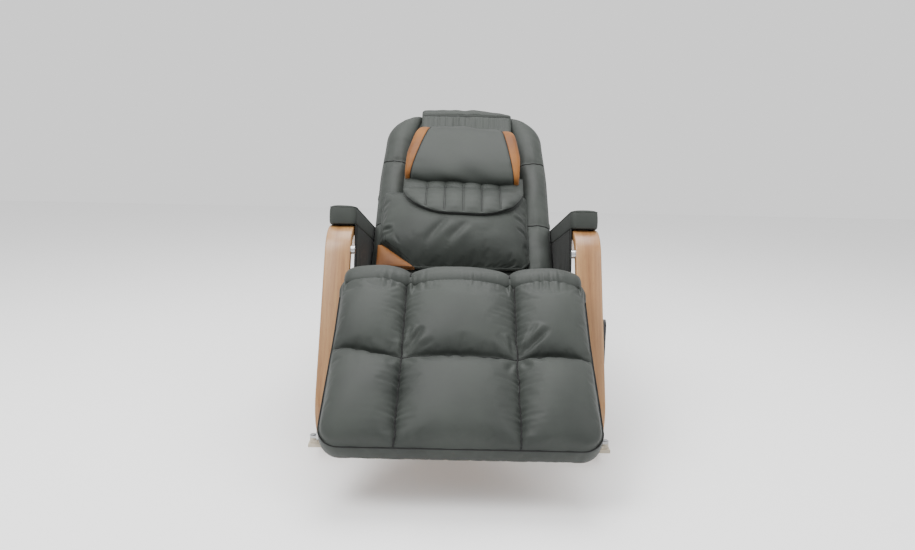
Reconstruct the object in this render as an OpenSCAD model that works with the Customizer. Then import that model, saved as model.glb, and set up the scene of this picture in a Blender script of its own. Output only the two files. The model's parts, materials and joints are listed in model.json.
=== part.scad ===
// Massage rocking chair with bentwood side frames, a reclining back and a folding leg rest.
// Lengths are in millimetres. X runs across the chair, the chair faces -Y and Z is up.
// The floor is at Z = 0. Side outlines are drawn in the plane of Y and Z.

/* [Overall] */
// Width over the two wooden side frames
overall_w = 700; // [660:5:760]
// Clearance between pieces that rest on each other
rest_gap = 0.3; // [0.2:0.05:0.5]
// Radial clearance of a pin in its bore
pin_play = 0.05; // [0.02:0.01:0.1]

/* [Wooden side frames] */
// Width of the bent wooden strip
plank_w = 65; // [56:1:72]
// Thickness of the bent wooden strip
plank_t = 26; // [22:1:30]
// Distance of the corner between upright and armrest behind the knee hinge
arm_corner_in = 169.2; // [158:0.2:180]
// Height of the corner between upright and armrest
arm_corner_z = 547; // [540:1:556]
// Slope of the armrest down to the rear, in degrees
arm_slope = 13; // [12:0.5:14]
// Lean of the upright from the vertical, in degrees
upright_lean = 25; // [23:0.5:26]
// Place along Y of the rear end of the armrest strip
arm_end_y = 400; // [385:1:420]
// Outer radius of the upper front bend
top_bend_r = 90; // [75:1:110]
// Outer radius of the lower front bend
foot_bend_r = 95; // [75:1:110]
// Rolling radius of the runner
runner_r = 1250; // [1150:10:1350]
// Place along Y where the runner touches the floor
contact_y = 120; // [105:1:135]
// Rise of the front stretch of the runner, in degrees
runner_front_rise = 2; // [1.8:0.1:2.4]
// Rise of the rear stretch of the runner, in degrees
runner_rear_rise = 18.5; // [17:0.5:19]
// Place along Y of the rear end of the runner
runner_end_y = 722; // [700:1:745]
// Place along Y of the rear post's upper bend
post_top_y = 452; // [440:1:470]
// Place along Y of the rear post's lower bend
post_foot_y = 640; // [625:1:655]
// Outer radius of the rear post's bends
post_bend_r = 48; // [40:1:56]
// Length of the rear post's flanges
post_flange = 96; // [88:1:104]

/* [Seat] */
// Place along Y of the hip point, where seat and back surfaces meet
hip_y = 80; // [70:1:90]
// Height of the hip point
hip_z = 355; // [350:1:362]
// Slope of the seat down to the rear, in degrees
seat_tilt = 13; // [12:0.5:14]
// Height of the seat cushion's crown above its board
seat_pad_t = 105; // [98:1:110]
// Gap between the seat cushion and each side frame
seat_side_gap = 10; // [8:1:23]
// Gap between the seat cushion's front row and each side frame
nose_side_gap = 2; // [1:0.5:9]
// Distance of the knee hinge in front of the seat board
knee_out = 93; // [86:1:98]
// Height of the knee hinge above the seat board
knee_rise = 41; // [37:1:44]
// Length of the seat board
board_l = 382; // [374:1:386]
// Thickness of the seat board
board_t = 12; // [10:1:14]
// Height of the seat frame's rails
rail_h = 30; // [26:1:34]
// Width of the seat frame's rails
rail_w = 20; // [18:1:24]
// Distance of the rails' centre lines from the side frames
rail_in = 37; // [35:1:45]

/* [Leg rest] */
// Angle of the leg rest below the horizontal, in degrees
leg_angle = 39; // [36:1:41]
// Length of the leg cushion
leg_len = 398; // [380:1:410]
// Gap between the leg cushion's sides and the side frames' inner faces, seen from the front
leg_side_gap = 0; // [-4:0.5:10]
// Height of the leg cushion's sewn band
leg_band_t = 54; // [48:1:58]
// Height of the leg cushion's crown above its band
leg_crown = 40; // [30:1:46]
// Share of the leg cushion's length at its cross seam, from the foot end
leg_seam_share = 0.54; // [0.5:0.01:0.58]

/* [Back] */
// Angle of the back above the horizontal, in degrees
back_angle = 42; // [40:1:44]
// Length of the back from hip to top
back_len = 700; // [680:1:710]
// Gap between the back and each side frame
back_side_gap = 15; // [13:1:23]
// Width of each wing at the bottom
wing_w = 84; // [80:1:90]
// Thickness of the back's foam
back_foam_t = 70; // [66:1:76]
// Depth of the back from its front surface to its rear panel
back_depth = 112; // [108:1:118]
// Rounding radius of the back's upper corners
back_corner_r = 98; // [80:1:104]
// Crown of the wings
wing_crown = 8; // [5:1:8]

/* [Cushions on the back] */
// Distance of the lumbar cushion's left side from the back's edge
lumbar_left_in = 25; // [18:1:40]
// Distance of the lumbar cushion's right side from the back's edge
lumbar_right_in = 77; // [50:1:84]
// Place along the back of the lumbar cushion's lower edge
lumbar_s0 = 34; // [32:1:44]
// Place along the back of the lumbar cushion's upper edge
lumbar_s1 = 320; // [312:1:322]
// Height of the lumbar cushion's crown
lumbar_crown = 74; // [60:1:78]
// Distance of the head pillow's ends from the back's edges
pillow_side_in = 92; // [86:1:105]
// Place along the back of the head pillow's middle
pillow_s = 458; // [456:1:466]
// Half height of the head pillow along the back
pillow_half_s = 124; // [112:1:126]
// Half thickness of the head pillow
pillow_half_t = 47; // [42:1:49]
// Distance of the neck apron's sides from the back's edges
bib_side_in = 80; // [76:1:92]
// Place along the back of the neck apron's lowest point
bib_s0 = 165; // [155:1:180]
// Distance of the head flap's ends from the back's edges
flap_side_in = 112; // [105:1:125]
// Rise of the head flap over the back's top
flap_rise = 38; // [30:1:42]

/* [Armrests] */
// Half width of an armrest pad
arm_pad_half_w = 34; // [30:1:35]
// Thickness of an armrest pad
arm_pad_t = 46; // [40:1:52]
// Start of the armrest pad along the armrest
arm_pad_t0 = 30; // [20:1:40]
// Distance of the armrest pad's end from the strip's end
arm_pad_end_in = 62.5; // [50:0.5:80]
// Height of the side skirt below the armrest
skirt_h = 148; // [130:1:160]
// Start of the side skirt along the armrest
skirt_t0 = 44; // [38:1:60]

/* [Recline mechanism] */
// Distance of the spring's rear pivot from the recline hinge
lever_arm = 75; // [70:1:80]
// Radius of the gas spring's cylinder
spring_r = 13; // [11:0.5:14]
// Radius of the gas spring's rod
rod_r = 5; // [4:0.5:6]
// Radius of the release lever's shaft
shaft_r = 7; // [6:0.5:8]
// Length of the release lever below its shaft
lever_l = 134; // [128:1:140]

/* [Hidden] */
$fn = 48;
cut = 2;
half_w = overall_w / 2;
inner_w = half_w - plank_w;
seat_half_w = inner_w - seat_side_gap;
nose_half_w = inner_w - nose_side_gap;
rail_x = inner_w - rail_in;
leg_half_w = inner_w - leg_side_gap;
back_half_w = inner_w - back_side_gap;
middle_half_w = back_half_w - wing_w;
pillow_half_l = back_half_w - pillow_side_in;
bib_half_w = back_half_w - bib_side_in;
flap_half_w = back_half_w - flap_side_in;
knee_reach = board_l + knee_out;
// Shares of a cushion's width at its two lengthwise seams
lobe_shares = [0, 0.263, 0.737, 1];
leather = "#6b716d";
dark_leather = "#3f433f";
camel = "#b87a45";
red = "#a02c28";
beech = "#c99a68";
steel = "#8b8f92";
black = "#26282a";
nylon = "#b9ae98";

// Points of a polyline with each inner corner rounded to its radius
function unit2(v) = v / norm(v);
function corner_arc(a, b, c, r, n) =
    let (u = unit2(a - b), v = unit2(c - b), h = acos(u * v) / 2)
    let (m = b + unit2(u + v) * r / sin(h), p = b + u * r / tan(h) - m, q = b + v * r / tan(h) - m)
    let (s = atan2(p[1], p[0]), d = atan2(p[0] * q[1] - p[1] * q[0], p * q))
    [for (i = [0:n]) m + r * [cos(s + d * i / n), sin(s + d * i / n)]];
function rounded(pts, radii, n) = concat(
    [pts[0]],
    [for (i = [1:len(pts) - 2]) each corner_arc(pts[i - 1], pts[i], pts[i + 1], radii[i - 1], n)],
    [pts[len(pts) - 1]]);
function tangent(p, i) = unit2(p[min(i + 1, len(p) - 1)] - p[max(i - 1, 0)]);
function beside(p, t) = [for (i = [0:len(p) - 1]) let (d = tangent(p, i)) p[i] + t * [-d[1], d[0]]];
function strip(p, t) = concat(p, [for (i = [len(p) - 1:-1:0]) beside(p, t)[i]]);

// Places that follow from the driving sizes
seat_y0 = hip_y - seat_pad_t * sin(seat_tilt);
seat_z0 = hip_z - seat_pad_t * cos(seat_tilt);
function seat_point(t, w) = [
    seat_y0 + t * cos(seat_tilt) + w * sin(seat_tilt),
    seat_z0 - t * sin(seat_tilt) + w * cos(seat_tilt)];
knee = seat_point(-knee_reach, knee_rise);
arm_corner_y = knee[0] + arm_corner_in;
runner_turn_l = runner_r * tan((runner_front_rise + runner_rear_rise) / 2);
runner_y = contact_y + runner_turn_l * cos(runner_front_rise) - runner_r * sin(runner_front_rise);
runner_z = runner_r * (1 - cos(runner_front_rise)) - runner_turn_l * sin(runner_front_rise);
lean_rate = tan(upright_lean);
rise_rate = tan(runner_front_rise);
foot_z = (runner_z + rise_rate * (runner_y - arm_corner_y + arm_corner_z * lean_rate))
    / (1 + rise_rate * lean_rate);
foot_y = arm_corner_y - (arm_corner_z - foot_z) * lean_rate;
function arm_z(y) = arm_corner_z - (y - arm_corner_y) * tan(arm_slope);
function runner_front_z(y) = runner_z + (runner_y - y) * rise_rate;
function runner_rear_z(y) = runner_z + (y - runner_y) * tan(runner_rear_rise);
bow_points = [[arm_end_y, arm_z(arm_end_y)], [arm_corner_y, arm_corner_z], [foot_y, foot_z],
    [runner_y, runner_z], [runner_end_y, runner_rear_z(runner_end_y)]];
bow_path = rounded(bow_points, [top_bend_r, foot_bend_r, runner_r], 16);
under_arm = (plank_t + rest_gap) / cos(arm_slope);
over_runner = (plank_t + rest_gap) / cos(runner_rear_rise);
post_points = [
    [arm_end_y - post_flange, arm_z(arm_end_y - post_flange) - under_arm],
    [post_top_y, arm_z(post_top_y) - under_arm],
    [post_foot_y, runner_rear_z(post_foot_y) + over_runner],
    [post_foot_y - post_flange, runner_rear_z(post_foot_y - post_flange) + over_runner]];
post_path = rounded(post_points, [post_bend_r, post_bend_r], 10);

// Local frames of the seat, the leg rest, the back and the armrests
hinge_drop_s = -2;
hinge_drop_w = -32;
function back_point(s, w) = [
    hip_y + s * cos(back_angle) - w * sin(back_angle),
    hip_z + s * sin(back_angle) + w * cos(back_angle)];
recliner = back_point(hinge_drop_s, hinge_drop_w);
module in_seat() { translate([0, seat_y0, seat_z0]) rotate([-seat_tilt, 0, 0]) children(); }
module in_leg() { translate([0, knee[0], knee[1]]) rotate([leg_angle, 0, 0]) children(); }
module in_back() { translate([0, hip_y, hip_z]) rotate([back_angle, 0, 0]) children(); }
module in_arm() {
    translate([0, arm_corner_y, arm_corner_z]) rotate([-arm_slope, 0, 0]) children();
}
module both_sides() {
    children();
    mirror([1, 0, 0]) children();
}

// Prism across the chair, from x0 and w wide, of an outline in the plane of Y and Z
module across(x0, w) {
    translate([x0, 0, 0]) rotate([90, 0, 90]) linear_extrude(w) children();
}
module rod_x(x0, w, r, y, z) { translate([x0, y, z]) rotate([0, 90, 0]) cylinder(h = w, r = r); }
module box(x, y, z) { translate([x[0], y[0], z[0]]) cube([x[1] - x[0], y[1] - y[0], z[1] - z[0]]); }

// Soft forms: closed rings of points joined by triangles
module loft(rings) {
    n = len(rings);
    m = len(rings[0]);
    points = [for (ring = rings) each ring];
    sides = [for (j = [0:n - 2]) for (i = [0:m - 1]) let (k = (i + 1) % m)
        each [[j * m + i, (j + 1) * m + i, (j + 1) * m + k], [j * m + i, (j + 1) * m + k, j * m + k]]];
    caps = [[for (i = [0:m - 1]) i], [for (i = [m - 1:-1:0]) (n - 1) * m + i]];
    polyhedron(points, concat(sides, caps));
}
// Shares of a length, closer together next to each seam
function seam_steps(cuts, k) = concat(
    [for (c = [0:len(cuts) - 2]) for (j = [0:k - 1])
        cuts[c] + (cuts[c + 1] - cuts[c]) * (1 - cos(180 * j / k)) / 2],
    [cuts[len(cuts) - 1]]);
// Puff of one cell between two seams, from 0 at a seam to 1 in the middle
puff_power_share = 0.62;
rim_crown = 2;
function rim_rise(u) = rim_crown * (1 - pow(2 * u - 1, 2));
function cell_puff(u, a, b) = pow(max(0, sin(180 * (u - a) / (b - a))), puff_power_share);
function puff(u, cuts) =
    max([for (i = [0:len(cuts) - 2]) u >= cuts[i] && u <= cuts[i + 1]
        ? cell_puff(u, cuts[i], cuts[i + 1]) : 0]);

// Cross pieces between the side frames
stretcher_r = 16;
flange_t = 5;
flange_h = 24;
flange_l = 70;
front_cross_drop = 109.5;
front_cross_z = knee[1] - front_cross_drop;
rear_cross_y = 330;
front_cross = [
    arm_corner_y - (arm_corner_z - front_cross_z) * lean_rate + plank_t / 2 / cos(upright_lean),
    front_cross_z];
rear_cross_rise = asin((rear_cross_y - contact_y) / runner_r);
rear_cross = [rear_cross_y, runner_r * (1 - cos(rear_cross_rise)) + plank_t / 2];
module stretcher(at, turn) {
    tube_half = inner_w - rest_gap - flange_t;
    rod_x(-tube_half - flange_t / 2, 2 * tube_half + flange_t, stretcher_r, at[0], at[1]);
    both_sides() translate([0, at[0], at[1]]) rotate([turn, 0, 0])
        box([tube_half, tube_half + flange_t], [-flange_l / 2, flange_l / 2],
            [-flange_h / 2, flange_h / 2]);
}
module front_stretcher() { color(black) stretcher(front_cross, 90 - upright_lean); }
module rear_stretcher() { color(black) stretcher(rear_cross, rear_cross_rise); }

// Flat bar of width w between two points, with round ends a little proud of its sides
module bar(p, q, w) {
    d = unit2(q - p) * (w / 2 - rest_gap);
    s = [-d[1], d[0]];
    translate(p) circle(w / 2);
    translate(q) circle(w / 2);
    polygon([p + s, q + s, q - s, p - s]);
}
module eye(p, r) { translate(p) circle(r); }

// Seat frame of steel rails and members, braced to both stretchers
member_w = 20;
member_h = 22;
front_member_in = 8;
front_member_t = -board_l + member_w / 2 + front_member_in;
mid_member_t = -212;
rear_member_t = -110;
rail_top = -board_t - 2 * rest_gap;
rail_end_t = -44;
brace_t = 8;
brace_w = 30;
brace_x = rail_x + rail_w / 2;
saddle_wall = 9;
saddle_r = stretcher_r + saddle_wall;
spring_front_t = -205;
spring_front_w = -122;
spring_pin_r = 4;
spring_lug_x = 16;
spring_lug_t = 5;
spring_lug_w = 24;
shaft_t = -298;
shaft_w = rail_top - rail_h / 2;
bush_wall = 2.5;
spring_front = seat_point(spring_front_t, spring_front_w);
module rail() {
    box([rail_x - rail_w / 2, rail_x + rail_w / 2], [-board_l, rail_end_t],
        [rail_top - rail_h, rail_top]);
}
module member(t) {
    box([-rail_x, rail_x], [t - member_w / 2, t + member_w / 2], [rail_top - member_h, rail_top]);
}
module spring_lugs() {
    both_sides() across(spring_lug_x, spring_lug_t)
        bar([mid_member_t, rail_top - spring_lug_w / 2 - rest_gap], [spring_front_t, spring_front_w],
            spring_lug_w);
}
rail_front = seat_point(-board_l + brace_w / 2, rail_top - rail_h / 2);
rail_rear = seat_point(rail_end_t - brace_w / 2, rail_top - rail_h / 2);
module braces() {
    across(brace_x - rest_gap, brace_t + rest_gap) {
        bar(front_cross, rail_front, brace_w);
        bar(rear_cross, rail_rear, brace_w);
        bar(rail_front, rail_rear, brace_w);
        eye(front_cross, saddle_r);
        eye(rear_cross, saddle_r);
    }
}
module seat_frame() {
    color(black) difference() {
        union() {
            in_seat() {
                both_sides() rail();
                member(front_member_t);
                member(mid_member_t);
                member(rear_member_t);
                spring_lugs();
            }
            both_sides() braces();
        }
        for (at = [front_cross, rear_cross])
            rod_x(-half_w, overall_w, stretcher_r + rest_gap, at[0], at[1]);
        in_seat() {
            rod_x(-half_w, overall_w, shaft_r + bush_wall + pin_play, shaft_t, shaft_w);
            rod_x(-half_w, overall_w, spring_pin_r + pin_play, spring_front_t, spring_front_w);
        }
    }
}
module shaft_bushes() {
    color(nylon) in_seat() both_sides() difference() {
        rod_x(rail_x - rail_w / 2, rail_w + brace_t, shaft_r + bush_wall, shaft_t, shaft_w);
        rod_x(0, half_w, shaft_r + pin_play, shaft_t, shaft_w);
    }
}
module seat_board() {
    color(beech) in_seat()
        box([-seat_half_w + member_w, seat_half_w - member_w], [-board_l, rail_end_t],
            [-board_t - rest_gap, -rest_gap]);
}

// Seat cushion: three lobes across, with a rounded front row over the knees
nose_l = 12;
nose_low = 60;
nose_edge = 5;
nose_round_l = 44;
seat_edge_share = 0.80;
seat_row_shares = [0, 0.30, 0.66, 1];
function seat_half(t) = let (f = min(1, max(0, (-t - board_l) / (knee_reach - board_l))))
    seat_half_w + (nose_half_w - seat_half_w) * f;
function seat_low(t) = t > -board_l ? 0
    : nose_low * (-t - board_l) / (knee_reach + nose_l - board_l);
function seat_nose(t) = let (d = t + knee_reach + nose_l)
    d > nose_round_l ? 1 : sqrt(1 - pow(1 - d / nose_round_l, 2));
function seat_high(u, v, t) = let (rim = seat_pad_t * seat_edge_share)
    nose_low + nose_edge + (rim - nose_low - nose_edge) * seat_nose(t)
        + rim_rise(u) + puff(u, lobe_shares) * (rim_crown + (seat_pad_t - rim)
            * (v < seat_row_shares[1] ? seat_nose(t) : puff(v, seat_row_shares)));
function seat_ring(v) =
    let (t = -knee_reach - nose_l + (knee_reach + nose_l - member_w / 2) * v, h = seat_half(t))
    concat([for (u = seam_steps(lobe_shares, 10)) [h * (2 * u - 1), t, seat_high(u, v, t)]],
        [[h, t, seat_low(t)], [-h, t, seat_low(t)]]);
module seat_cushion() {
    color(leather) in_seat() loft([for (v = seam_steps(seat_row_shares, 8)) seat_ring(v)]);
}

// Knee hinge: arms on the seat frame, eyes on the leg frame, and their pins
knee_in = 95;
knee_x = inner_w - knee_in;
knee_pin_r = 5;
knee_eye_r = 9;
knee_leaf_t = 8;
knee_arm_t = 4;
knee_arm_w = 16;
knee_elbow_out = 6;
knee_elbow_t = -board_l - knee_elbow_out;
knee_elbow_w = -26;
module knee_arm() {
    difference() {
        union() {
            across(0, knee_arm_t) bar([-knee_reach, knee_rise], [knee_elbow_t, knee_elbow_w], knee_arm_w);
            box([0, knee_arm_t], [knee_elbow_t, front_member_t - member_w / 2 - rest_gap],
                [knee_elbow_w - knee_arm_w / 2, knee_elbow_w + knee_arm_w / 2]);
        }
        rod_x(-cut, knee_arm_t + 2 * cut, knee_pin_r + pin_play, -knee_reach, knee_rise);
    }
}
module knee_arms() {
    color(black) in_seat() both_sides() {
        translate([knee_x + knee_leaf_t / 2 + rest_gap, 0, 0]) knee_arm();
        translate([knee_x - knee_leaf_t / 2 - rest_gap - knee_arm_t, 0, 0]) knee_arm();
    }
}
module knee_pins() {
    reach = knee_leaf_t / 2 + rest_gap + knee_arm_t;
    color(steel) both_sides() {
        rod_x(knee_x - reach, 2 * reach, knee_pin_r, knee[0], knee[1]);
        rod_x(knee_x + reach + rest_gap, knee_arm_t, knee_eye_r, knee[0], knee[1]);
        rod_x(knee_x + reach, rest_gap, knee_pin_r, knee[0], knee[1]);
    }
}

// Leg rest: frame, board and the cushion with two rows of three tufted cells
leg_top = 12;
leg_gap = 14;
leg_low = leg_top - leg_band_t;
leg_board_t = 10;
leg_tube = 22;
leg_board_top = leg_low - rest_gap;
leg_tube_top = leg_board_top - leg_board_t - rest_gap;
leg_tube_mid = leg_tube_top - leg_tube / 2;
leg_board_in = 18;
leaf_end = 30;
leaf_y = 2;
leg_y0 = -leg_gap - leg_len;
leg_lip_shares = [0, 0.08, 0.30, 1];
leg_row_shares = [0, leg_seam_share, 1];
leg_round_share = 0.94;
module leg_frame() {
    long = leg_len - 2 * leg_board_in - leaf_end;
    color(black) in_leg() {
        both_sides() box([knee_x - leg_tube / 2, knee_x + leg_tube / 2],
            [-leaf_end - long, -leaf_end], [leg_tube_top - leg_tube, leg_tube_top]);
        for (y = [-leaf_end - leg_tube, -leaf_end - long])
            box([-knee_x, knee_x], [y, y + leg_tube], [leg_tube_top - leg_tube, leg_tube_top]);
        both_sides() leg_leaf();
    }
}
module leg_leaf() {
    difference() {
        across(knee_x - knee_leaf_t / 2, knee_leaf_t) {
            bar([0, 0], [leaf_y, leg_tube_mid], knee_arm_w);
            bar([leaf_y, leg_tube_mid], [-leaf_end - knee_arm_w, leg_tube_mid], knee_arm_w);
            eye([0, 0], knee_eye_r);
        }
        rod_x(knee_x - knee_leaf_t, 2 * knee_leaf_t, knee_pin_r + pin_play, 0, 0);
    }
}
module leg_board() {
    color(beech) in_leg() box([-leg_half_w + leg_board_in, leg_half_w - leg_board_in],
        [leg_y0 + leg_board_in, -leg_gap - leg_board_in], [leg_board_top - leg_board_t, leg_board_top]);
}
function leg_half(v) = leg_half_w * (leg_round_share + (1 - leg_round_share)
    * min(1, sqrt(max(0, v / leg_lip_shares[1]))));
function leg_ring(v) =
    let (y = leg_y0 + leg_len * v, h = leg_half(v))
    concat([for (u = seam_steps(lobe_shares, 11))
            [h * (2 * u - 1), y,
                leg_top + rim_rise(u)
                    + puff(u, lobe_shares) * (rim_crown + leg_crown * puff(v, leg_row_shares))]],
        [[h, y, leg_low], [-h, y, leg_low]]);
module leg_cushion() {
    color(leather) in_leg() loft([for (v = seam_steps(leg_row_shares, 13)) leg_ring(v)]);
}

// Vibration motors: closed cases with an uneven weight on the shaft
motor_r = 32;
motor_h = 28;
motor_wall = 3;
motor_shaft_r = 3;
weight_r = 22;
weight_h = 14;
seat_motor_x = -110;
seat_motor_t = -256;
leg_motor_y = -210;
module motor_case() {
    difference() {
        cylinder(h = motor_h, r = motor_r);
        translate([0, 0, motor_wall]) cylinder(h = motor_h - 2 * motor_wall, r = motor_r - motor_wall);
    }
    translate([0, 0, motor_wall - rest_gap])
        cylinder(h = motor_h - 2 * motor_wall + 2 * rest_gap, r = motor_shaft_r);
}
module motor_weight() {
    translate([0, 0, (motor_h - weight_h) / 2]) difference() {
        cylinder(h = weight_h, r = weight_r);
        translate([0, 0, -cut]) cylinder(h = weight_h + 2 * cut, r = motor_shaft_r + pin_play);
        box([-weight_r - cut, weight_r + cut], [2 * motor_shaft_r, weight_r + cut], [-cut, weight_h + cut]);
    }
}
module at_seat_motor() {
    in_seat() translate([seat_motor_x, seat_motor_t, -board_t - 2 * rest_gap - motor_h]) children();
}
module at_leg_motor() {
    in_leg() translate([0, leg_motor_y, leg_board_top - leg_board_t - rest_gap - motor_h]) children();
}
module seat_motor_case() { color(black) at_seat_motor() motor_case(); }
module seat_motor_weight() { color(steel) at_seat_motor() motor_weight(); }
module leg_motor_case() { color(black) at_leg_motor() motor_case(); }
module leg_motor_weight() { color(steel) at_leg_motor() motor_weight(); }

// Recline hinge: plates on the seat frame and on the back frame, joined by shoulder pins
recliner_r = 14;
recliner_pin_r = 6;
recliner_shoulder_r = 9;
recliner_t = 6;
seat_plate_x = brace_x + brace_t + rest_gap;
seat_plate_elbow = seat_point(recliner_r / 2, rail_top - rail_h / 2);
back_tube_w = 24;
back_tube_in = 8;
back_tube_x = rail_x - back_tube_in;
back_plate_x = back_tube_x + back_tube_w / 2 + rest_gap;
panel_t = 10;
back_tube_d = back_depth - back_foam_t - panel_t - 2 * rest_gap;
back_tube_top = -back_foam_t - rest_gap;
back_tube_mid = back_tube_top - back_tube_d / 2;
back_tube_s0 = 22;
back_top_gap = 40;
hinge_elbow_s = -12;
hinge_plate_s = 110;
hinge_plate_w = 22;
module recliner_seat_plates() {
    color(steel) both_sides() difference() {
        across(seat_plate_x, recliner_t) {
            bar(recliner, seat_plate_elbow, 2 * recliner_r);
            bar(seat_plate_elbow, seat_point(rear_member_t, rail_top - rail_h / 2), 2 * recliner_r);
        }
        rod_x(0, half_w, recliner_pin_r + pin_play, recliner[0], recliner[1]);
    }
}
module recliner_back_plates() {
    color(steel) in_back() both_sides() difference() {
        across(back_plate_x, recliner_t) {
            bar([hinge_drop_s, hinge_drop_w], [hinge_elbow_s, back_tube_mid], hinge_plate_w);
            bar([hinge_elbow_s, back_tube_mid], [hinge_plate_s, back_tube_mid], hinge_plate_w);
            eye([hinge_drop_s, hinge_drop_w], recliner_r);
        }
        rod_x(0, half_w, recliner_pin_r + pin_play, hinge_drop_s, hinge_drop_w);
    }
}
module recliner_pins() {
    gap_x = back_plate_x + recliner_t + rest_gap;
    color(steel) both_sides() {
        rod_x(back_plate_x, seat_plate_x + recliner_t - back_plate_x, recliner_pin_r,
            recliner[0], recliner[1]);
        rod_x(gap_x, seat_plate_x - rest_gap - gap_x, recliner_shoulder_r, recliner[0], recliner[1]);
    }
}

// Back frame: side tubes, cross tubes and the arm that the gas spring pushes
back_cross_s = [back_tube_s0, 188, 446, back_len - back_top_gap - back_tube_w];
lever_dir = -83;
spring_rear = recliner + lever_arm * [cos(lever_dir), sin(lever_dir)];
function to_back(p) = let (d = p - [hip_y, hip_z])
    [d[0] * cos(back_angle) + d[1] * sin(back_angle), d[1] * cos(back_angle) - d[0] * sin(back_angle)];
spring_rear_s = to_back(spring_rear);
fork_x = 9;
fork_t = 5;
module back_frame() {
    color(black) in_back() difference() {
        union() {
            both_sides() box([back_tube_x - back_tube_w / 2, back_tube_x + back_tube_w / 2],
                [back_tube_s0, back_len - back_top_gap], [back_tube_top - back_tube_d, back_tube_top]);
            for (s = back_cross_s) box([-back_tube_x, back_tube_x], [s, s + back_tube_w],
                [back_tube_top - back_tube_d, back_tube_top]);
            both_sides() across(fork_x, fork_t)
                bar([back_tube_s0 + back_tube_w / 2, back_tube_mid], spring_rear_s, spring_lug_w);
        }
        rod_x(-half_w, overall_w, spring_pin_r + pin_play, spring_rear_s[0], spring_rear_s[1]);
    }
}
module spring_rear_pin() {
    reach = fork_x + fork_t;
    color(steel) rod_x(-reach, 2 * reach, spring_pin_r, spring_rear[0], spring_rear[1]);
}
module spring_front_pin() {
    reach = spring_lug_x + spring_lug_t;
    color(steel) rod_x(-reach, 2 * reach, spring_pin_r, spring_front[0], spring_front[1]);
}

// Gas spring between the seat frame and the back frame's arm
spring_line = spring_rear - spring_front;
spring_l = norm(spring_line);
spring_turn = atan2(spring_line[1], spring_line[0]);
spring_body_l = 196;
spring_eye_w = 12;
spring_bore_r = rod_r + pin_play;
rod_eye_play = 4.2;
rod_eye_wall = 3;
rod_eye_r = spring_pin_r + rod_eye_play + rod_eye_wall;
piston_l = 14;
module in_spring() {
    translate([0, spring_front[0], spring_front[1]]) rotate([spring_turn, 0, 0]) children();
}
module along(y0, l, r) { translate([0, y0, 0]) rotate([-90, 0, 0]) cylinder(h = l, r = r); }
module gas_spring_cylinder() {
    color(black) in_spring() difference() {
        union() {
            along(0, spring_body_l, spring_r);
            rod_x(-spring_eye_w, 2 * spring_eye_w, spring_r, 0, 0);
        }
        along(2 * spring_r, spring_body_l - 2 * spring_r - flange_t, spring_r - bush_wall);
        along(spring_body_l - flange_t - cut, flange_t + 2 * cut, spring_bore_r);
        rod_x(-half_w, overall_w, spring_pin_r + pin_play, 0, 0);
    }
}
module gas_spring_rod() {
    color(steel) in_spring() difference() {
        union() {
            along(spring_body_l / 2, spring_l - spring_body_l / 2, rod_r);
            along(spring_body_l / 2, piston_l, spring_r - bush_wall - pin_play);
            rod_x(-fork_x + rest_gap, 2 * (fork_x - rest_gap), rod_eye_r, spring_l, 0);
        }
        rod_x(-half_w, overall_w, spring_pin_r + rod_eye_play, spring_l, 0);
    }
}

// Release lever outside the right side frame, on a shaft through both rails
shaft = seat_point(shaft_t, shaft_w);
lever_hub_gap = 2;
lever_hub_h = 6;
lever_hub_x = half_w + lever_hub_gap;
lever_t = 14;
lever_x = lever_hub_x + lever_hub_h;
lever_bore_x = lever_x + lever_t - rest_gap;
shaft_end_x = brace_x + brace_t;
hub_r = 17;
lever_tip_r = 19;
finger_l = 118;
finger_w = 12;
finger_dir = -85;
module release_shaft() {
    color(steel) {
        rod_x(-shaft_end_x, lever_bore_x - rest_gap + shaft_end_x, shaft_r, shaft[0], shaft[1]);
        across(-fork_t / 2, fork_t)
            bar(shaft, shaft + finger_l * [cos(finger_dir), sin(finger_dir)], finger_w);
    }
}
module release_lever() {
    color(black) difference() {
        union() {
            rod_x(lever_hub_x, lever_hub_h + lever_t, hub_r, shaft[0], shaft[1]);
            across(lever_x, lever_t) {
                eye(shaft + [0, -lever_l + lever_tip_r], lever_tip_r);
                polygon([shaft + [-hub_r, 0], shaft + [-lever_tip_r, -lever_l + lever_tip_r],
                    shaft + [lever_tip_r, -lever_l + lever_tip_r], shaft + [hub_r, 0]]);
            }
        }
        rod_x(0, lever_bore_x, shaft_r + pin_play, shaft[0], shaft[1]);
    }
}

// Armrests: upholstered pads, side skirts and the caps of the frame bolts
arm_pad_shift = 4;
arm_pad_x = inner_w + plank_w / 2 - arm_pad_shift;
pad_corner_share = 0.35;
pad_end_share = 0.80;
pad_round_l = 14;
skirt_t = 5.4;
cap_r = 11;
cap_h = 10;
cap_z = 479;
arm_end_t = (arm_end_y - arm_corner_y) / cos(arm_slope);
arm_pad_l = arm_end_t - arm_pad_t0 - arm_pad_end_in;
function soft_power(v, p) = sign(v) * pow(abs(v), p);
function pad_scale(d) = d >= pad_round_l ? 1
    : pad_end_share + (1 - pad_end_share) * sqrt(1 - pow(1 - d / pad_round_l, 2));
function pad_ring(d) =
    let (f = pad_scale(min(d, arm_pad_l - d)))
    [for (i = [0:15]) let (a = 360 * i / 16)
        [arm_pad_x + arm_pad_half_w * f * soft_power(sin(a), pad_corner_share), arm_pad_t0 + d,
            rest_gap + arm_pad_t / 2 * (1 + f * soft_power(cos(a), pad_corner_share))]];
pad_steps = [0, 0.08, 0.3, 0.6, 1];
module arm_pad() {
    in_arm() loft(concat(
        [for (s = pad_steps) pad_ring(s * pad_round_l)],
        [for (i = [len(pad_steps) - 1:-1:0]) pad_ring(arm_pad_l - pad_steps[i] * pad_round_l)]));
}
module arm_pad_left() { color(leather) mirror([1, 0, 0]) arm_pad(); }
module arm_pad_right() { color(leather) arm_pad(); }
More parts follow.
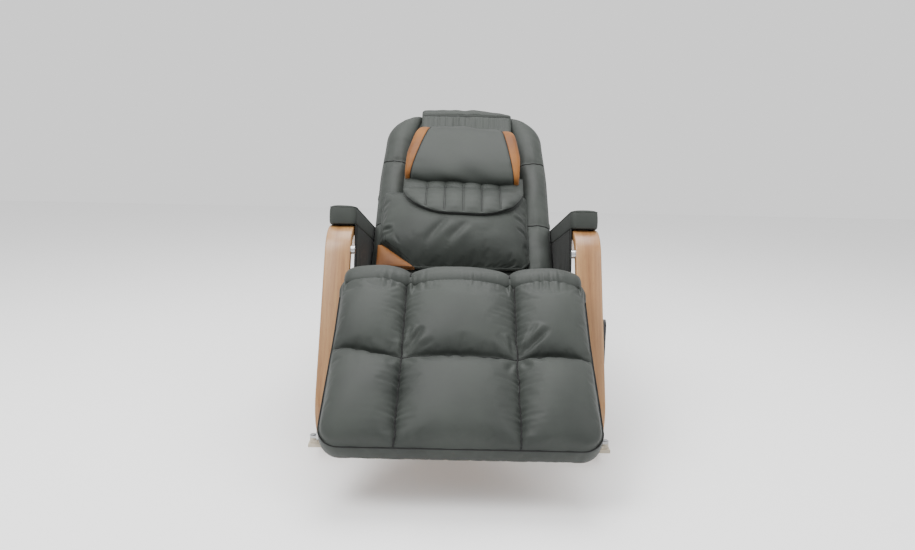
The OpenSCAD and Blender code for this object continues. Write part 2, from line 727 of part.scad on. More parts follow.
module side_skirt() {
    in_arm() box([inner_w - rest_gap - skirt_t, inner_w - rest_gap],
        [skirt_t0, arm_pad_t0 + arm_pad_l], [-skirt_h, -rest_gap]);
}
module side_skirt_left() { color(dark_leather) mirror([1, 0, 0]) side_skirt(); }
module side_skirt_right() { color(dark_leather) side_skirt(); }
module bow_bolt_caps() {
    cap_y = arm_corner_y - (arm_corner_z - cap_z) * lean_rate + plank_t / 2 / cos(upright_lean);
    color(steel) both_sides() rod_x(inner_w - rest_gap - cap_h, cap_h, cap_r, cap_y, cap_z);
}

// Bolts through the rear posts' flanges
bolt_r = 4;
bolt_head_r = 8;
bolt_head_h = 5;
bolt_step = 32;
bolt_inset = 20;
bolt_cover = 6;
foot_bolt_in = 13;
post_x = inner_w + plank_w / 2;
module top_bolts(r, head) {
    in_arm() for (i = [0:1]) translate([post_x, arm_end_t - bolt_inset - i * bolt_step, 0]) {
        translate([0, 0, -2 * plank_t - rest_gap - head])
            cylinder(h = 2 * plank_t + rest_gap + head - bolt_cover, r = r);
        if (head > 0) translate([0, 0, -2 * plank_t - 2 * rest_gap - head])
            cylinder(h = head, r = bolt_head_r);
    }
}
module foot_bolts(r, head) {
    translate([0, post_foot_y, runner_rear_z(post_foot_y)]) rotate([runner_rear_rise, 0, 0])
        for (i = [-1:2:1]) translate([post_x + i * bolt_step / 2, -post_flange + foot_bolt_in, bolt_cover]) {
            cylinder(h = 2 * plank_t + rest_gap - bolt_cover + head, r = r);
            if (head > 0) translate([0, 0, 2 * plank_t + 2 * rest_gap - bolt_cover])
                cylinder(h = head, r = bolt_head_r);
        }
}
module post_bolts() {
    color(steel) both_sides() {
        top_bolts(bolt_r, bolt_head_h);
        foot_bolts(bolt_r, bolt_head_h);
    }
}

// Side frames: bent strips with bores for the post bolts
module side_bow() {
    difference() {
        across(inner_w, plank_w) polygon(strip(bow_path, plank_t));
        top_bolts(bolt_r + rest_gap, 0);
        foot_bolts(bolt_r + rest_gap, 0);
    }
}
module rear_post() {
    difference() {
        across(inner_w, plank_w) polygon(strip(post_path, -plank_t));
        top_bolts(bolt_r + rest_gap, 0);
        foot_bolts(bolt_r + rest_gap, 0);
    }
}
module side_bow_left() { color(beech) mirror([1, 0, 0]) side_bow(); }
module side_bow_right() { color(beech) side_bow(); }
module rear_post_left() { color(beech) mirror([1, 0, 0]) rear_post(); }
module rear_post_right() { color(beech) rear_post(); }

// Stop feet: blocks that swing out from under the runners
stop_in = 116.8;
stop_y = foot_y + stop_in;
stop_half_l = 18;
stop_reach = 32;
stop_pin_out = 15;
stop_pin_x = half_w + stop_pin_out;
stop_pin_r = 4;
stop_boss_r = 9;
stop_out = 11;
stop_h = runner_front_z(stop_y + stop_half_l) - 2 * rest_gap;
stop_boss_h = 5;
stop_plate_t = 5;
stop_lug_t = 6;
stop_step_h = 7;
stop_plate_h = 20;
stop_lug_low = stop_h + stop_boss_h + rest_gap;
stop_head_h = 2;
stop_head_r = 6;
module stop_foot() {
    translate([stop_pin_x, stop_y, 0]) difference() {
        union() {
            box([-stop_pin_x + half_w - stop_reach, stop_out], [-stop_half_l, stop_half_l],
                [0, stop_h - stop_step_h]);
            box([-stop_pin_x + half_w - stop_reach, stop_out / 2],
                [-stop_half_l + stop_lug_t, stop_half_l - stop_lug_t], [0, stop_h]);
            cylinder(h = stop_h + stop_boss_h, r = stop_boss_r);
        }
        translate([0, 0, stop_step_h / 2])
            cylinder(h = stop_h + stop_boss_h, r = stop_pin_r + pin_play);
    }
}
module stop_foot_right() { color(nylon) stop_foot(); }
module stop_foot_left() { color(nylon) mirror([1, 0, 0]) stop_foot(); }
module stop_foot_brackets() {
    color(steel) both_sides() difference() {
        union() {
            box([half_w + rest_gap, half_w + rest_gap + stop_plate_t],
                [stop_y - stop_half_l, stop_y + stop_half_l],
                [stop_lug_low, stop_lug_low + stop_plate_h]);
            box([half_w + rest_gap, stop_pin_x], [stop_y - stop_boss_r, stop_y + stop_boss_r],
                [stop_lug_low, stop_lug_low + stop_lug_t]);
            translate([stop_pin_x, stop_y, stop_lug_low]) cylinder(h = stop_lug_t, r = stop_boss_r);
        }
        translate([stop_pin_x, stop_y, 0])
            cylinder(h = stop_lug_low + 2 * stop_lug_t, r = stop_pin_r + pin_play);
    }
}
module stop_foot_pins() {
    color(steel) both_sides() translate([stop_pin_x, stop_y, 0]) {
        translate([0, 0, stop_step_h / 2 + rest_gap])
            cylinder(h = stop_lug_low + stop_lug_t - stop_step_h / 2, r = stop_pin_r);
        translate([0, 0, stop_lug_low + stop_lug_t + rest_gap])
            cylinder(h = stop_head_h, r = stop_head_r);
    }
}

// Control box under the seat, with its lid, power inlet and rocker switch
control_out = 54;
control_mid_x = 64;
control_x = [control_mid_x, rail_x - control_out];
control_w = control_x[1] - control_x[0];
control_t = [-216, -104];
control_wall = 3;
control_h = 40;
control_top = rail_top - member_h - rest_gap;
control_low = control_top - control_wall - rest_gap - control_h;
control_mid_w = control_low + control_h / 2;
inlet_share = 0.25;
inlet_x = control_x[0] + inlet_share * control_w;
inlet_r = 7;
inlet_bore_r = 3;
inlet_l = 10;
switch_share = 0.66;
switch_x = control_x[0] + switch_share * control_w;
switch_pin_r = 0.8;
switch_pin_out = 1.5;
switch_half_w = 6;
switch_slot_h = 18;
switch_h = 16;
switch_inside = 5;
switch_edge = 4;
switch_dish = 2.5;
module control_box() {
    color(black) in_seat() difference() {
        box(control_x, control_t, [control_low, control_low + control_h]);
        box(control_x + control_wall * [1, -1], control_t + control_wall * [1, -1],
            [control_low + control_wall, control_low + control_h + cut]);
        along_at(inlet_x, control_t[1] - control_wall - cut, control_wall + 2 * cut, inlet_r + pin_play);
        box([switch_x - switch_half_w - rest_gap, switch_x + switch_half_w + rest_gap],
            [control_t[1] - control_wall - cut, control_t[1] + cut],
            [control_mid_w - switch_slot_h / 2, control_mid_w + switch_slot_h / 2]);
        switch_pin(switch_pin_r + pin_play);
    }
}
module switch_pin(r) {
    reach = switch_half_w + switch_pin_out;
    rod_x(switch_x - reach, 2 * reach, r, control_t[1] - control_wall / 2, control_mid_w);
}
module along_at(x, t, l, r) { translate([x, 0, control_mid_w]) along(t, l, r); }
module control_box_lid() {
    color(black) in_seat() box(control_x, control_t, [control_top - control_wall, control_top]);
}
module dc_inlet() {
    color(steel) in_seat() {
        difference() {
            along_at(inlet_x, control_t[1] - inlet_l, inlet_l + cut, inlet_r);
            along_at(inlet_x, control_t[1] - inlet_l + cut, inlet_l + cut, inlet_bore_r);
        }
        along_at(inlet_x, control_t[1] - inlet_l + cut, inlet_l - cut, inlet_bore_r / 3);
    }
}
module power_switch() {
    color(red) in_seat() {
        translate([0, control_t[1] - control_wall / 2, control_mid_w])
            across(switch_x - switch_half_w, 2 * switch_half_w)
                polygon([[-switch_inside, -switch_h / 2], [switch_edge, -switch_h / 2], [switch_dish, 0],
                    [switch_edge, switch_h / 2], [-switch_inside, switch_h / 2]]);
        switch_pin(switch_pin_r);
    }
}

// Back: rear panel, middle pad with its two pockets, and the wings
wing_s0 = 18;
wing_turn_s = 490;
wing_lean_in = 41;
wing_top_in = middle_half_w - wing_lean_in;
wing_edge = -6;
wing_rows = [0, 0.273, 0.677, 1];
middle_top = wing_crown;
panel_inset = 3;
function wing_in(s) = middle_half_w + rest_gap
    - (s <= wing_turn_s ? 0 : (middle_half_w - wing_top_in)
        * pow((s - wing_turn_s) / (back_len - wing_turn_s), 1.6));
function wing_out(s) = let (d = s - (back_len - back_corner_r))
    back_half_w - (d <= 0 ? 0 : back_corner_r - sqrt(max(0, pow(back_corner_r, 2) - pow(d, 2))));
function wing_ring(v) =
    let (s = wing_s0 + (back_len - wing_s0) * v, a = wing_in(s), b = wing_out(s))
    concat([for (u = [0, 0.06, 0.2, 0.5, 0.8, 0.94, 1])
            [a + (b - a) * u, s, wing_edge + puff(u, [0, 1])
                * (rim_crown + (wing_crown - rim_crown - wing_edge) * puff(v, wing_rows))]],
        [[b, s, -back_foam_t], [a, s, -back_foam_t]]);
module back_wing() { in_back() loft([for (v = seam_steps(wing_rows, 7)) wing_ring(v)]); }
module back_wing_left() { color(leather) mirror([1, 0, 0]) back_wing(); }
module back_wing_right() { color(leather) back_wing(); }
module back_outline(half, s0, s1, r) {
    translate([-half, s0]) square([2 * half, s1 - r - s0]);
    translate([-half + r, s0]) square([2 * (half - r), s1 - s0]);
    for (x = [-half + r, half - r]) translate([x, s1 - r]) circle(r);
}
module back_rear_panel() {
    color(dark_leather) in_back() translate([0, 0, -back_depth]) linear_extrude(panel_t)
        back_outline(back_half_w - panel_inset, back_tube_s0, back_len - panel_inset, back_corner_r);
}
case_half_w = 110;
case_h = 22;
case_l = 112;
case_gap = 1;
neck_s = 458;
lumbar_s = 200;
pocket_top = -16;
module pocket(s) {
    box([-case_half_w - case_gap, case_half_w + case_gap],
        [s - case_l / 2 - case_gap, s + case_l / 2 + case_gap], [-back_foam_t - cut, pocket_top]);
}
module back_middle_pad() {
    top_s = back_len - panel_inset;
    steps = [for (i = [0:8]) wing_turn_s + (top_s - wing_turn_s) * i / 8];
    right = [for (s = steps) [wing_in(s) - 2 * rest_gap, s]];
    left = [for (i = [8:-1:0]) [-right[i][0], steps[i]]];
    foot = middle_half_w - rest_gap;
    color(leather) in_back() difference() {
        translate([0, 0, -back_foam_t]) linear_extrude(back_foam_t + middle_top)
            polygon(concat([[-foot, wing_s0], [foot, wing_s0]], right, left));
        pocket(neck_s);
        pocket(lumbar_s);
    }
}

// Massagers: cases in the middle pad's pockets, each with two turning kneading heads
head_x = 56;
head_r = 32;
head_h = 9;
head_lift = 3;
head_low = -back_foam_t + case_h + head_lift;
knob_x = 19;
knob_r = 9;
knob_h = 13;
head_shaft_r = 4;
module massager_case(s) {
    in_back() {
        box([-case_half_w, case_half_w], [s - case_l / 2, s + case_l / 2],
            [-back_foam_t, -back_foam_t + case_h]);
        both_sides() translate([head_x, s, -back_foam_t])
            cylinder(h = case_h + head_lift + head_h, r = head_shaft_r);
    }
}
module massage_head(x, s) {
    in_back() translate([x, s, head_low]) difference() {
        union() {
            cylinder(h = head_h, r = head_r);
            for (side = [-1, 1]) translate([side * knob_x, 0, 0]) {
                cylinder(h = head_h + knob_h - knob_r / 2, r = knob_r);
                translate([0, 0, head_h + knob_h - knob_r / 2]) sphere(r = knob_r);
            }
        }
        translate([0, 0, -cut]) cylinder(h = head_h + 2 * cut, r = head_shaft_r + pin_play);
    }
}
module neck_massager_case() { color(black) massager_case(neck_s); }
module lumbar_massager_case() { color(black) massager_case(lumbar_s); }
module neck_head_left() { color(nylon) massage_head(-head_x, neck_s); }
module neck_head_right() { color(nylon) massage_head(head_x, neck_s); }
module lumbar_head_left() { color(nylon) massage_head(-head_x, lumbar_s); }
module lumbar_head_right() { color(nylon) massage_head(head_x, lumbar_s); }

// Lumbar cushion with a slanted lower left edge, and the tan accent below that edge
lumbar_base = middle_top + rest_gap;
lumbar_edge = 10;
lumbar_cut_s = 96;
lumbar_cut_rate = 1.2;
accent_gap = 1;
accent_h = 16;
lumbar_x0 = -back_half_w + lumbar_left_in;
lumbar_x1 = back_half_w - lumbar_right_in;
function lumbar_left(s) = lumbar_x0 + lumbar_cut_rate * max(0, lumbar_cut_s - s);
function lumbar_high(u, v) =
    lumbar_base + lumbar_edge + puff(u, [0, 1]) * (rim_crown + lumbar_crown * puff(v, [0, 1]));
function lumbar_ring(v) =
    let (s = lumbar_s0 + (lumbar_s1 - lumbar_s0) * v, a = lumbar_left(s), b = lumbar_x1)
    concat([for (u = seam_steps([0, 1], 18)) [a + (b - a) * u, s, lumbar_high(u, v)]],
        [[b, s, lumbar_base], [a, s, lumbar_base]]);
module lumbar_cushion() {
    color(leather) in_back() loft([for (v = seam_steps([0, 1], 16)) lumbar_ring(v)]);
}
module lumbar_accent() {
    x = lumbar_x0;
    s = lumbar_cut_s - accent_gap * 2;
    color(camel) in_back() translate([0, 0, lumbar_base]) linear_extrude(accent_h)
        polygon([[x, lumbar_s0], [x + lumbar_cut_rate * (s - lumbar_s0), lumbar_s0], [x, s]]);
}

// Neck apron over the lumbar cushion, with a scalloped edge and stitched channels
bib_s1 = lumbar_s1 - 2;
bib_t = 9;
bib_puff = 6;
bib_clear = 5;
bib_side_share = 0.907;
bib_power_share = 3.6;
bib_channels = [0, 0.20, 0.35, 0.5, 0.65, 0.80, 1];
function bib_low_s(q) = bib_s0
    + bib_side_share * (bib_s1 - bib_s0) * pow(abs(2 * q - 1), bib_power_share);
function bib_under(s) = lumbar_base + lumbar_edge + bib_clear
    + lumbar_crown * puff((s - lumbar_s0) / (lumbar_s1 - lumbar_s0), [0, 1]);
function bib_ring(q) =
    let (x = bib_half_w * (2 * q - 1), s0 = bib_low_s(q), n = 7)
    concat([for (i = [n:-1:0]) let (s = s0 + (bib_s1 - s0) * i / n)
            [x, s, bib_under(s) + bib_t + bib_puff * puff(q, bib_channels) * puff(i / n, [0, 1])]],
        [for (i = [0:n]) let (s = s0 + (bib_s1 - s0) * i / n) [x, s, bib_under(s)]]);
module neck_apron() {
    color(leather) in_back() loft([for (q = seam_steps(bib_channels, 3)) bib_ring(q)]);
}

// Head pillow: a soft roll with tan end caps behind slanted seams
pillow_w = middle_top + rest_gap + pillow_half_t;
pillow_seam_share = 0.86;
pillow_tilt = 14;
pillow_taper_share = 0.10;
pillow_end_share = 0.42;
pillow_power = 0.8;
cap_start_share = 1.004;
function pillow_scale(q) = 1 - pillow_taper_share * pow(abs(q), 3);
function cap_scale(q) = let (d = (abs(q) - 1) / (1 / pillow_seam_share - 1))
    pillow_end_share + (1 - pillow_taper_share - pillow_end_share) * sqrt(max(0, 1 - d * d));
function pillow_ring(q, f) =
    [for (i = [0:17]) let (a = 360 * i / 18, c = soft_power(cos(a), pillow_power),
            d = -soft_power(sin(a), pillow_power))
        [q * (pillow_seam_share * pillow_half_l - pillow_tilt * d), pillow_s + pillow_half_s * f * d,
            pillow_w + pillow_half_t * f * c]];
module head_pillow() {
    color(leather) in_back() loft([for (i = [-8:8]) pillow_ring(i / 8, pillow_scale(i / 8))]);
}
module pillow_cap() {
    last = 1 / pillow_seam_share;
    loft([for (i = [0:4]) let (q = cap_start_share + (last - cap_start_share) * sin(22.5 * i))
        pillow_ring(q, cap_scale(q))]);
}
module pillow_accents() { color(camel) in_back() both_sides() pillow_cap(); }

// Head flap: a padded band that wraps over the top of the back
flap_front_s = 596;
flap_rear_s = 628;
flap_t = 15;
flap_bend_r = 34;
flap_in = back_len + rest_gap;
flap_front_w = wing_crown + rest_gap;
flap_rear_w = -back_depth - rest_gap;
flap_outer = rounded([[flap_rear_s, flap_rear_w - flap_t], [flap_in + flap_rise, flap_rear_w - flap_t],
    [flap_in + flap_rise, flap_front_w + flap_t], [flap_front_s, flap_front_w + flap_t / 2]],
    [flap_bend_r, flap_bend_r], 5);
flap_inner = [[flap_front_s, flap_front_w], [flap_in, flap_front_w], [flap_in, flap_rear_w],
    [flap_rear_s, flap_rear_w]];
module head_flap() {
    color(leather) in_back() across(-flap_half_w, 2 * flap_half_w)
        polygon(concat(flap_outer, flap_inner));
}

// Fabric tabs sewn into the back's side seams
tab_t = 4;
tab_l = 16;
tab_h = 10;
tab_s = [328, 220];
module back_side_tabs() {
    color(black) in_back() for (side = [0, 1]) mirror([1 - side, 0, 0])
        box([back_half_w + rest_gap, back_half_w + rest_gap + tab_t],
            [tab_s[side] - tab_l / 2, tab_s[side] + tab_l / 2], [-2 * tab_h, -tab_h]);
}

side_bow_left();
side_bow_right();
rear_post_left();
rear_post_right();
front_stretcher();
rear_stretcher();
seat_frame();
seat_board();
seat_cushion();
knee_arms();
knee_pins();
recliner_seat_plates();
recliner_pins();
arm_pad_left();
arm_pad_right();
side_skirt_left();
side_skirt_right();
bow_bolt_caps();
post_bolts();
stop_foot_brackets();
stop_foot_pins();
stop_foot_left();
stop_foot_right();
control_box();
control_box_lid();
dc_inlet();
power_switch();
seat_motor_case();
seat_motor_weight();
spring_front_pin();
gas_spring_cylinder();
gas_spring_rod();
release_shaft();
release_lever();
shaft_bushes();
leg_frame();
leg_board();
leg_cushion();
leg_motor_case();
leg_motor_weight();
back_frame();
recliner_back_plates();
spring_rear_pin();
back_rear_panel();
back_middle_pad();
back_wing_left();
back_wing_right();
lumbar_cushion();
lumbar_accent();
neck_apron();
head_pillow();
pillow_accents();
head_flap();
back_side_tabs();
neck_massager_case();
lumbar_massager_case();
neck_head_left();
neck_head_right();
lumbar_head_left();
lumbar_head_right();
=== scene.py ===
"""Looks of a reclining rocking chair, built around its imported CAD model."""
import json
import math

import bmesh
import bpy
import numpy as np
from mathutils import Matrix, Vector
from mathutils.bvhtree import BVHTree


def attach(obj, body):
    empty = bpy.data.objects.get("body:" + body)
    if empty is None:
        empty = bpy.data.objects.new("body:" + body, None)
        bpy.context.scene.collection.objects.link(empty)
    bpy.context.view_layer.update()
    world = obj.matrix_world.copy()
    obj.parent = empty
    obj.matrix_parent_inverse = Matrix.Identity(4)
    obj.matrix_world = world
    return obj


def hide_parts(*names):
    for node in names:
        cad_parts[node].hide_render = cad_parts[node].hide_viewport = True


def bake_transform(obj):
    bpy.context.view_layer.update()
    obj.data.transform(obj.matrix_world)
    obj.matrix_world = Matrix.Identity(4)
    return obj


MM = 0.001
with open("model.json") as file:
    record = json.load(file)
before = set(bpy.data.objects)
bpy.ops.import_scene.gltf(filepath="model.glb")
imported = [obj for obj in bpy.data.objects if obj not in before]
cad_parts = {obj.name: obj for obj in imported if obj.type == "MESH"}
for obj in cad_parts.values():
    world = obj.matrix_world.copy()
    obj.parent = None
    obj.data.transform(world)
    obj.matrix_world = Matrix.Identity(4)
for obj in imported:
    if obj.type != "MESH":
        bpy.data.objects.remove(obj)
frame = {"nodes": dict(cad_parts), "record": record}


def new_object(name, data):
    """A new object in the scene."""
    made = bpy.data.objects.new(name, data)
    bpy.context.scene.collection.objects.link(made)
    return made


def make_camera():
    """The photograph's view: from the front, a little above the seat, rolled slightly."""
    camera = new_object("camera", bpy.data.cameras.new("camera"))
    camera.data.sensor_width = 36
    camera.data.lens = 31.5
    camera.location = (-0.013, -2.261, 0.775)
    pitch, roll = math.radians(10), math.radians(1.2)
    camera.rotation_mode = "QUATERNION"
    look = Matrix.Rotation(math.pi / 2 - pitch, 3, "X") @ Matrix.Rotation(roll, 3, "Z")
    camera.rotation_quaternion = look.to_quaternion()
    bpy.context.scene.camera = camera


make_camera()
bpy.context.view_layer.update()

# Places, in millimetres, as in the part's source
SEAT_TILT, LEG_ANGLE, BACK_ANGLE, ARM_SLOPE = 13, 39, 42, 13
HIP = (80, 355)
SEAT_T = 105
INNER_X = 285
SIDES = ((-1, "left"), (1, "right"))


def turn(origin, angle):
    """Map of (x, along, up) arrays in mm, in a frame turned about X, to world metres."""
    c, s = math.cos(math.radians(angle)), math.sin(math.radians(angle))

    def to_world(x, y, w):
        x, y, w = np.broadcast_arrays(*[np.asarray(a, float) for a in (x, y, w)])
        return np.stack([x, origin[0] + y * c - w * s, origin[1] + y * s + w * c], -1) * MM

    return to_world


SEAT_0 = (HIP[0] - SEAT_T * math.sin(math.radians(SEAT_TILT)),
          HIP[1] - SEAT_T * math.cos(math.radians(SEAT_TILT)))
in_seat = turn(SEAT_0, -SEAT_TILT)
KNEE = in_seat(0, -475, 41)[1:] / MM
in_leg = turn(KNEE, LEG_ANGLE)
in_back = turn(HIP, BACK_ANGLE)
in_arm = turn((-228, 547), -ARM_SLOPE)


# Small numeric helpers
def smooth(x, a, b):
    """0 before a, 1 after b, and smooth between them."""
    f = np.clip((np.asarray(x, float) - a) / (b - a), 0, 1)
    return f * f * (3 - 2 * f)


RIPPLE_TERMS, FIELD_TERMS = 5, 9


def ripple(x, seed, length):
    """Irregular wave of about the given wavelength, between -1 and 1."""
    rng = np.random.default_rng(seed)
    x = np.asarray(x, float)
    total = np.zeros_like(x)
    for _ in range(RIPPLE_TERMS):
        total += np.sin(2 * np.pi * x / (length * rng.uniform(0.6, 1.7)) + rng.uniform(0, 6.28))
    return total / RIPPLE_TERMS * 1.6


def field(x, y, seed, length):
    """Smooth irregular field over a plane, between about -1 and 1."""
    rng = np.random.default_rng(seed)
    total = 0
    for _ in range(FIELD_TERMS):
        a, k = rng.uniform(0, 2 * np.pi), 2 * np.pi / (length * rng.uniform(0.6, 1.8))
        total = total + np.sin(k * (x * math.cos(a) + y * math.sin(a)) + rng.uniform(0, 6.28))
    return total / FIELD_TERMS * 1.8


def puff(value, cuts, power):
    """0 at each seam in cuts and 1 midway between two of them."""
    value = np.asarray(value, float)
    out = np.zeros_like(value)
    for a, b in zip(cuts[:-1], cuts[1:]):
        inside = (value >= a) & (value <= b)
        wave = np.sin(np.pi * np.clip((value - a) / (b - a), 0, 1))
        out = np.where(inside, np.maximum(out, np.clip(wave, 0, 1) ** power), out)
    return out


def bell(x):
    """1 at 0, fading to 0 beyond about 2 on both sides."""
    return np.exp(-x ** 2)


def swell(u, power):
    """0 at both ends of u's way from 0 to 1, and 1 midway."""
    return puff(u, (0, 1), power)


def across_share(x, half):
    """0 at -half, 1 at half, and no less or more beyond."""
    return np.clip((x / half + 1) / 2, 0, 1)


def nearest(value, cuts):
    """Distance to the nearest of the cuts."""
    value = np.asarray(value, float)
    return np.min([np.abs(value - c) for c in cuts], axis=0)


def crease(x, y, a, b, depth, width):
    """A soft fold along the line from a to b: a ditch beside a low ridge, fading at both ends."""
    d = np.array(b, float) - np.array(a, float)
    length = np.hypot(*d)
    d /= length
    along = (x - a[0]) * d[0] + (y - a[1]) * d[1]
    across = -(x - a[0]) * d[1] + (y - a[1]) * d[0]
    fade = np.sin(np.pi * np.clip(along / length, 0, 1)) ** 0.7
    ridge = 0.6 * bell((across - 1.7 * width) / (1.3 * width))
    return depth * fade * (ridge - bell(across / width))


def unit(rows):
    """Each row at length 1."""
    return rows / (np.linalg.norm(rows, axis=1, keepdims=True) + 1e-9)


def lengths(points):
    """Length along a polyline up to each of its points."""
    return np.concatenate([[0], np.cumsum(np.linalg.norm(np.diff(points, axis=0), axis=1))])


# Mesh helpers
def shade_smooth(mesh):
    mesh.polygons.foreach_set("use_smooth", [True] * len(mesh.polygons))


def add_mesh(name, points, faces, material, uv=None):
    """A new smooth-shaded mesh object from world points; uv gives one pair per point."""
    mesh = bpy.data.meshes.new(name)
    mesh.from_pydata([tuple(p) for p in points], [], faces)
    mesh.validate()
    shade_smooth(mesh)
    if uv is not None:
        layer = mesh.uv_layers.new(name="UVMap")
        index = np.zeros(len(mesh.loops), int)
        mesh.loops.foreach_get("vertex_index", index)
        layer.data.foreach_set("uv", np.asarray(uv, np.float32)[index].ravel())
    mesh.materials.append(material)
    return new_object(name, mesh)


def outward(piece):
    """Turns the faces of a closed mesh outward."""
    work = bmesh.new()
    work.from_mesh(piece.data)
    bmesh.ops.recalc_face_normals(work, faces=work.faces)
    work.to_mesh(piece.data)
    work.free()
    return piece


def grid_faces(rows, columns, start=0, wrap=False):
    """Quads of a grid of points kept row by row; wrap joins the last column to the first."""
    faces = []
    for r in range(rows - 1):
        for c in range(columns if wrap else columns - 1):
            n = (c + 1) % columns
            a, b = start + r * columns, start + (r + 1) * columns
            faces.append((a + c, a + n, b + n, b + c))
    return faces


def loft(name, rings, material, uv=None):
    """Closed tube through equal rings of world points, with flat caps."""
    rings = np.asarray(rings, float)
    n, m = rings.shape[:2]
    faces = grid_faces(n, m, wrap=True) + [tuple(range(m)), tuple(range((n - 1) * m, n * m))]
    return outward(add_mesh(name, rings.reshape(-1, 3), faces, material, uv))


def edge_of(rows, columns):
    """Indices once round a grid of points kept row by row."""
    edge = list(range(columns)) + [r * columns + columns - 1 for r in range(1, rows)]
    edge += [(rows - 1) * columns + c for c in range(columns - 2, -1, -1)]
    return edge + [r * columns for r in range(rows - 2, 0, -1)]


def bulged(depth):
    """Side rows (outset, share of the height) that swell out by depth mm."""
    return [(depth * math.sin(math.pi * share) ** 0.5, share) for share in (0.06, 0.2, 0.5, 0.8, 0.94)]


def slab(name, place, x, y, top, low, material, side=((0.0, 0.5),)):
    """Closed form between two heights over one grid of points, with rows of points down its side."""
    rows, columns = x.shape
    top, low = np.broadcast_to(top, x.shape), np.broadcast_to(low, x.shape)
    edge = edge_of(rows, columns)
    ex, ey, et, el = [a.reshape(-1)[edge] for a in (x, y, top, low)]
    ahead = unit(np.column_stack([np.roll(ex, -1) - np.roll(ex, 1), np.roll(ey, -1) - np.roll(ey, 1)]))
    points = [place(x, y, top).reshape(-1, 3), place(x, y, low).reshape(-1, 3)]
    faces = grid_faces(rows, columns) + grid_faces(rows, columns, rows * columns)
    start = 2 * rows * columns
    rings = [edge]
    for outset, share in side:
        points.append(place(ex + ahead[:, 1] * outset, ey - ahead[:, 0] * outset, et + (el - et) * share))
        rings.append(list(range(start, start + len(edge))))
        start += len(edge)
    rings.append([rows * columns + i for i in edge])
    for upper, lower in zip(rings[:-1], rings[1:]):
        for i in range(len(edge)):
            n = (i + 1) % len(edge)
            faces.append((upper[i], upper[n], lower[n], lower[i]))
    return outward(add_mesh(name, np.concatenate(points), faces, material))


def swept(name, place, half, points, out, high, inset_way, rim, material, count):
    """Closed form through one outline (along, up) repeated across x, with rounded ends."""
    ends = np.array([1, 0.997, 0.985, 0.965])
    columns = np.concatenate([-ends, np.linspace(-0.935, 0.935, count), ends[::-1]])
    rings = []
    for c in columns:
        x = c * half
        edge = max(0.0, (abs(c) - 0.93) / 0.07)
        inset = rim * (1 - math.sqrt(max(0.0, 1 - edge * edge)))
        at = points + out * high(x)[:, None] + inset_way * inset
        rings.append(place(x, at[:, 0], at[:, 1]))
    return loft(name, rings, material)


def closed_outline(outer, inner, way):
    """Points of a closed outline, outward normals, and share along the outer part (-1 on the inner)."""
    points = np.concatenate([outer, inner])
    ahead = np.roll(points, -1, 0) - np.roll(points, 1, 0)
    normal = unit(np.column_stack([ahead[:, 1], -ahead[:, 0]]) * way)
    return points, normal, np.concatenate([np.linspace(0, 1, len(outer)), np.full(len(inner), -1.0)])


def round_corners(x, y, hx, y0, y1, radius):
    """Bends the corners of a rectangular grid onto circles of the given radius."""
    mid, hy = (y0 + y1) / 2, (y1 - y0) / 2
    p = np.clip((np.abs(x) - (hx - radius)) / radius, 0, 1)
    q = np.clip((np.abs(y - mid) - (hy - radius)) / radius, 0, 1)
    both = (p > 0) & (q > 0)
    p2, q2 = p * np.sqrt(1 - q * q / 2), q * np.sqrt(1 - p * p / 2)
    x = np.where(both, np.sign(x) * (hx - radius + p2 * radius), x)
    y = np.where(both, mid + np.sign(y - mid) * (hy - radius + q2 * radius), y)
    return x, y


def evaluated_mesh(piece):
    """The piece's shape with its modifiers, as a new smooth-shaded mesh."""
    depsgraph = bpy.context.evaluated_depsgraph_get()
    mesh = bpy.data.meshes.new_from_object(piece.evaluated_get(depsgraph))
    shade_smooth(mesh)
    return mesh


def apply_modifiers(piece):
    """Replaces the piece's mesh by its evaluated one."""
    mesh = evaluated_mesh(piece)
    piece.modifiers.clear()
    piece.data = mesh
    return piece


def subdivide(piece):
    """The piece with each face split once and rounded."""
    piece.modifiers.new("smooth", "SUBSURF").levels = 1
    return apply_modifiers(piece)


def tree_of(piece):
    """Search tree for rays onto the piece."""
    work = bmesh.new()
    work.from_mesh(piece.data)
    tree = BVHTree.FromBMesh(work)
    work.free()
    return tree


RAY_START = 400


def up_of(place):
    return Vector((place(0, 0, 1) - place(0, 0, 0)).tolist()).normalized()


def hits(tree, place, xs, ys):
    """Where the tree's surface lies below each (x, y) of a local frame, or None."""
    down = -up_of(place)
    return [tree.ray_cast(Vector(place(x, y, RAY_START).tolist()), down)[0]
            for x, y in zip(*np.broadcast_arrays(xs, ys))]


def drop(tree, place, xs, ys, lift):
    """Points on the tree's surface below (x, y) in a local frame, raised by lift mm."""
    rise = up_of(place) * lift * MM
    return [hit + rise for hit in hits(tree, place, xs, ys) if hit is not None]


def height_on(tree, place, xs, ys, otherwise):
    """Height in a local frame, in mm, of the tree's surface at each (x, y)."""
    zero, up = Vector(place(0, 0, 0).tolist()), up_of(place)
    return np.array([value if hit is None else (hit - zero).dot(up) / MM
                     for hit, value in zip(hits(tree, place, xs, ys), otherwise)])


def tube(name, points, radius, material):
    """A thin round tube along world points."""
    curve = bpy.data.curves.new(name, "CURVE")
    curve.dimensions = "3D"
    curve.bevel_depth = radius * MM
    curve.bevel_resolution = 1
    spline = curve.splines.new("POLY")
    spline.points.add(len(points) - 1)
    for target, p in zip(spline.points, points):
        target.co = (*p, 1)
    bare = new_object(name, curve)
    mesh = evaluated_mesh(bare)
    bpy.data.objects.remove(bare)
    mesh.materials.clear()
    mesh.materials.append(material)
    return new_object(name, mesh)


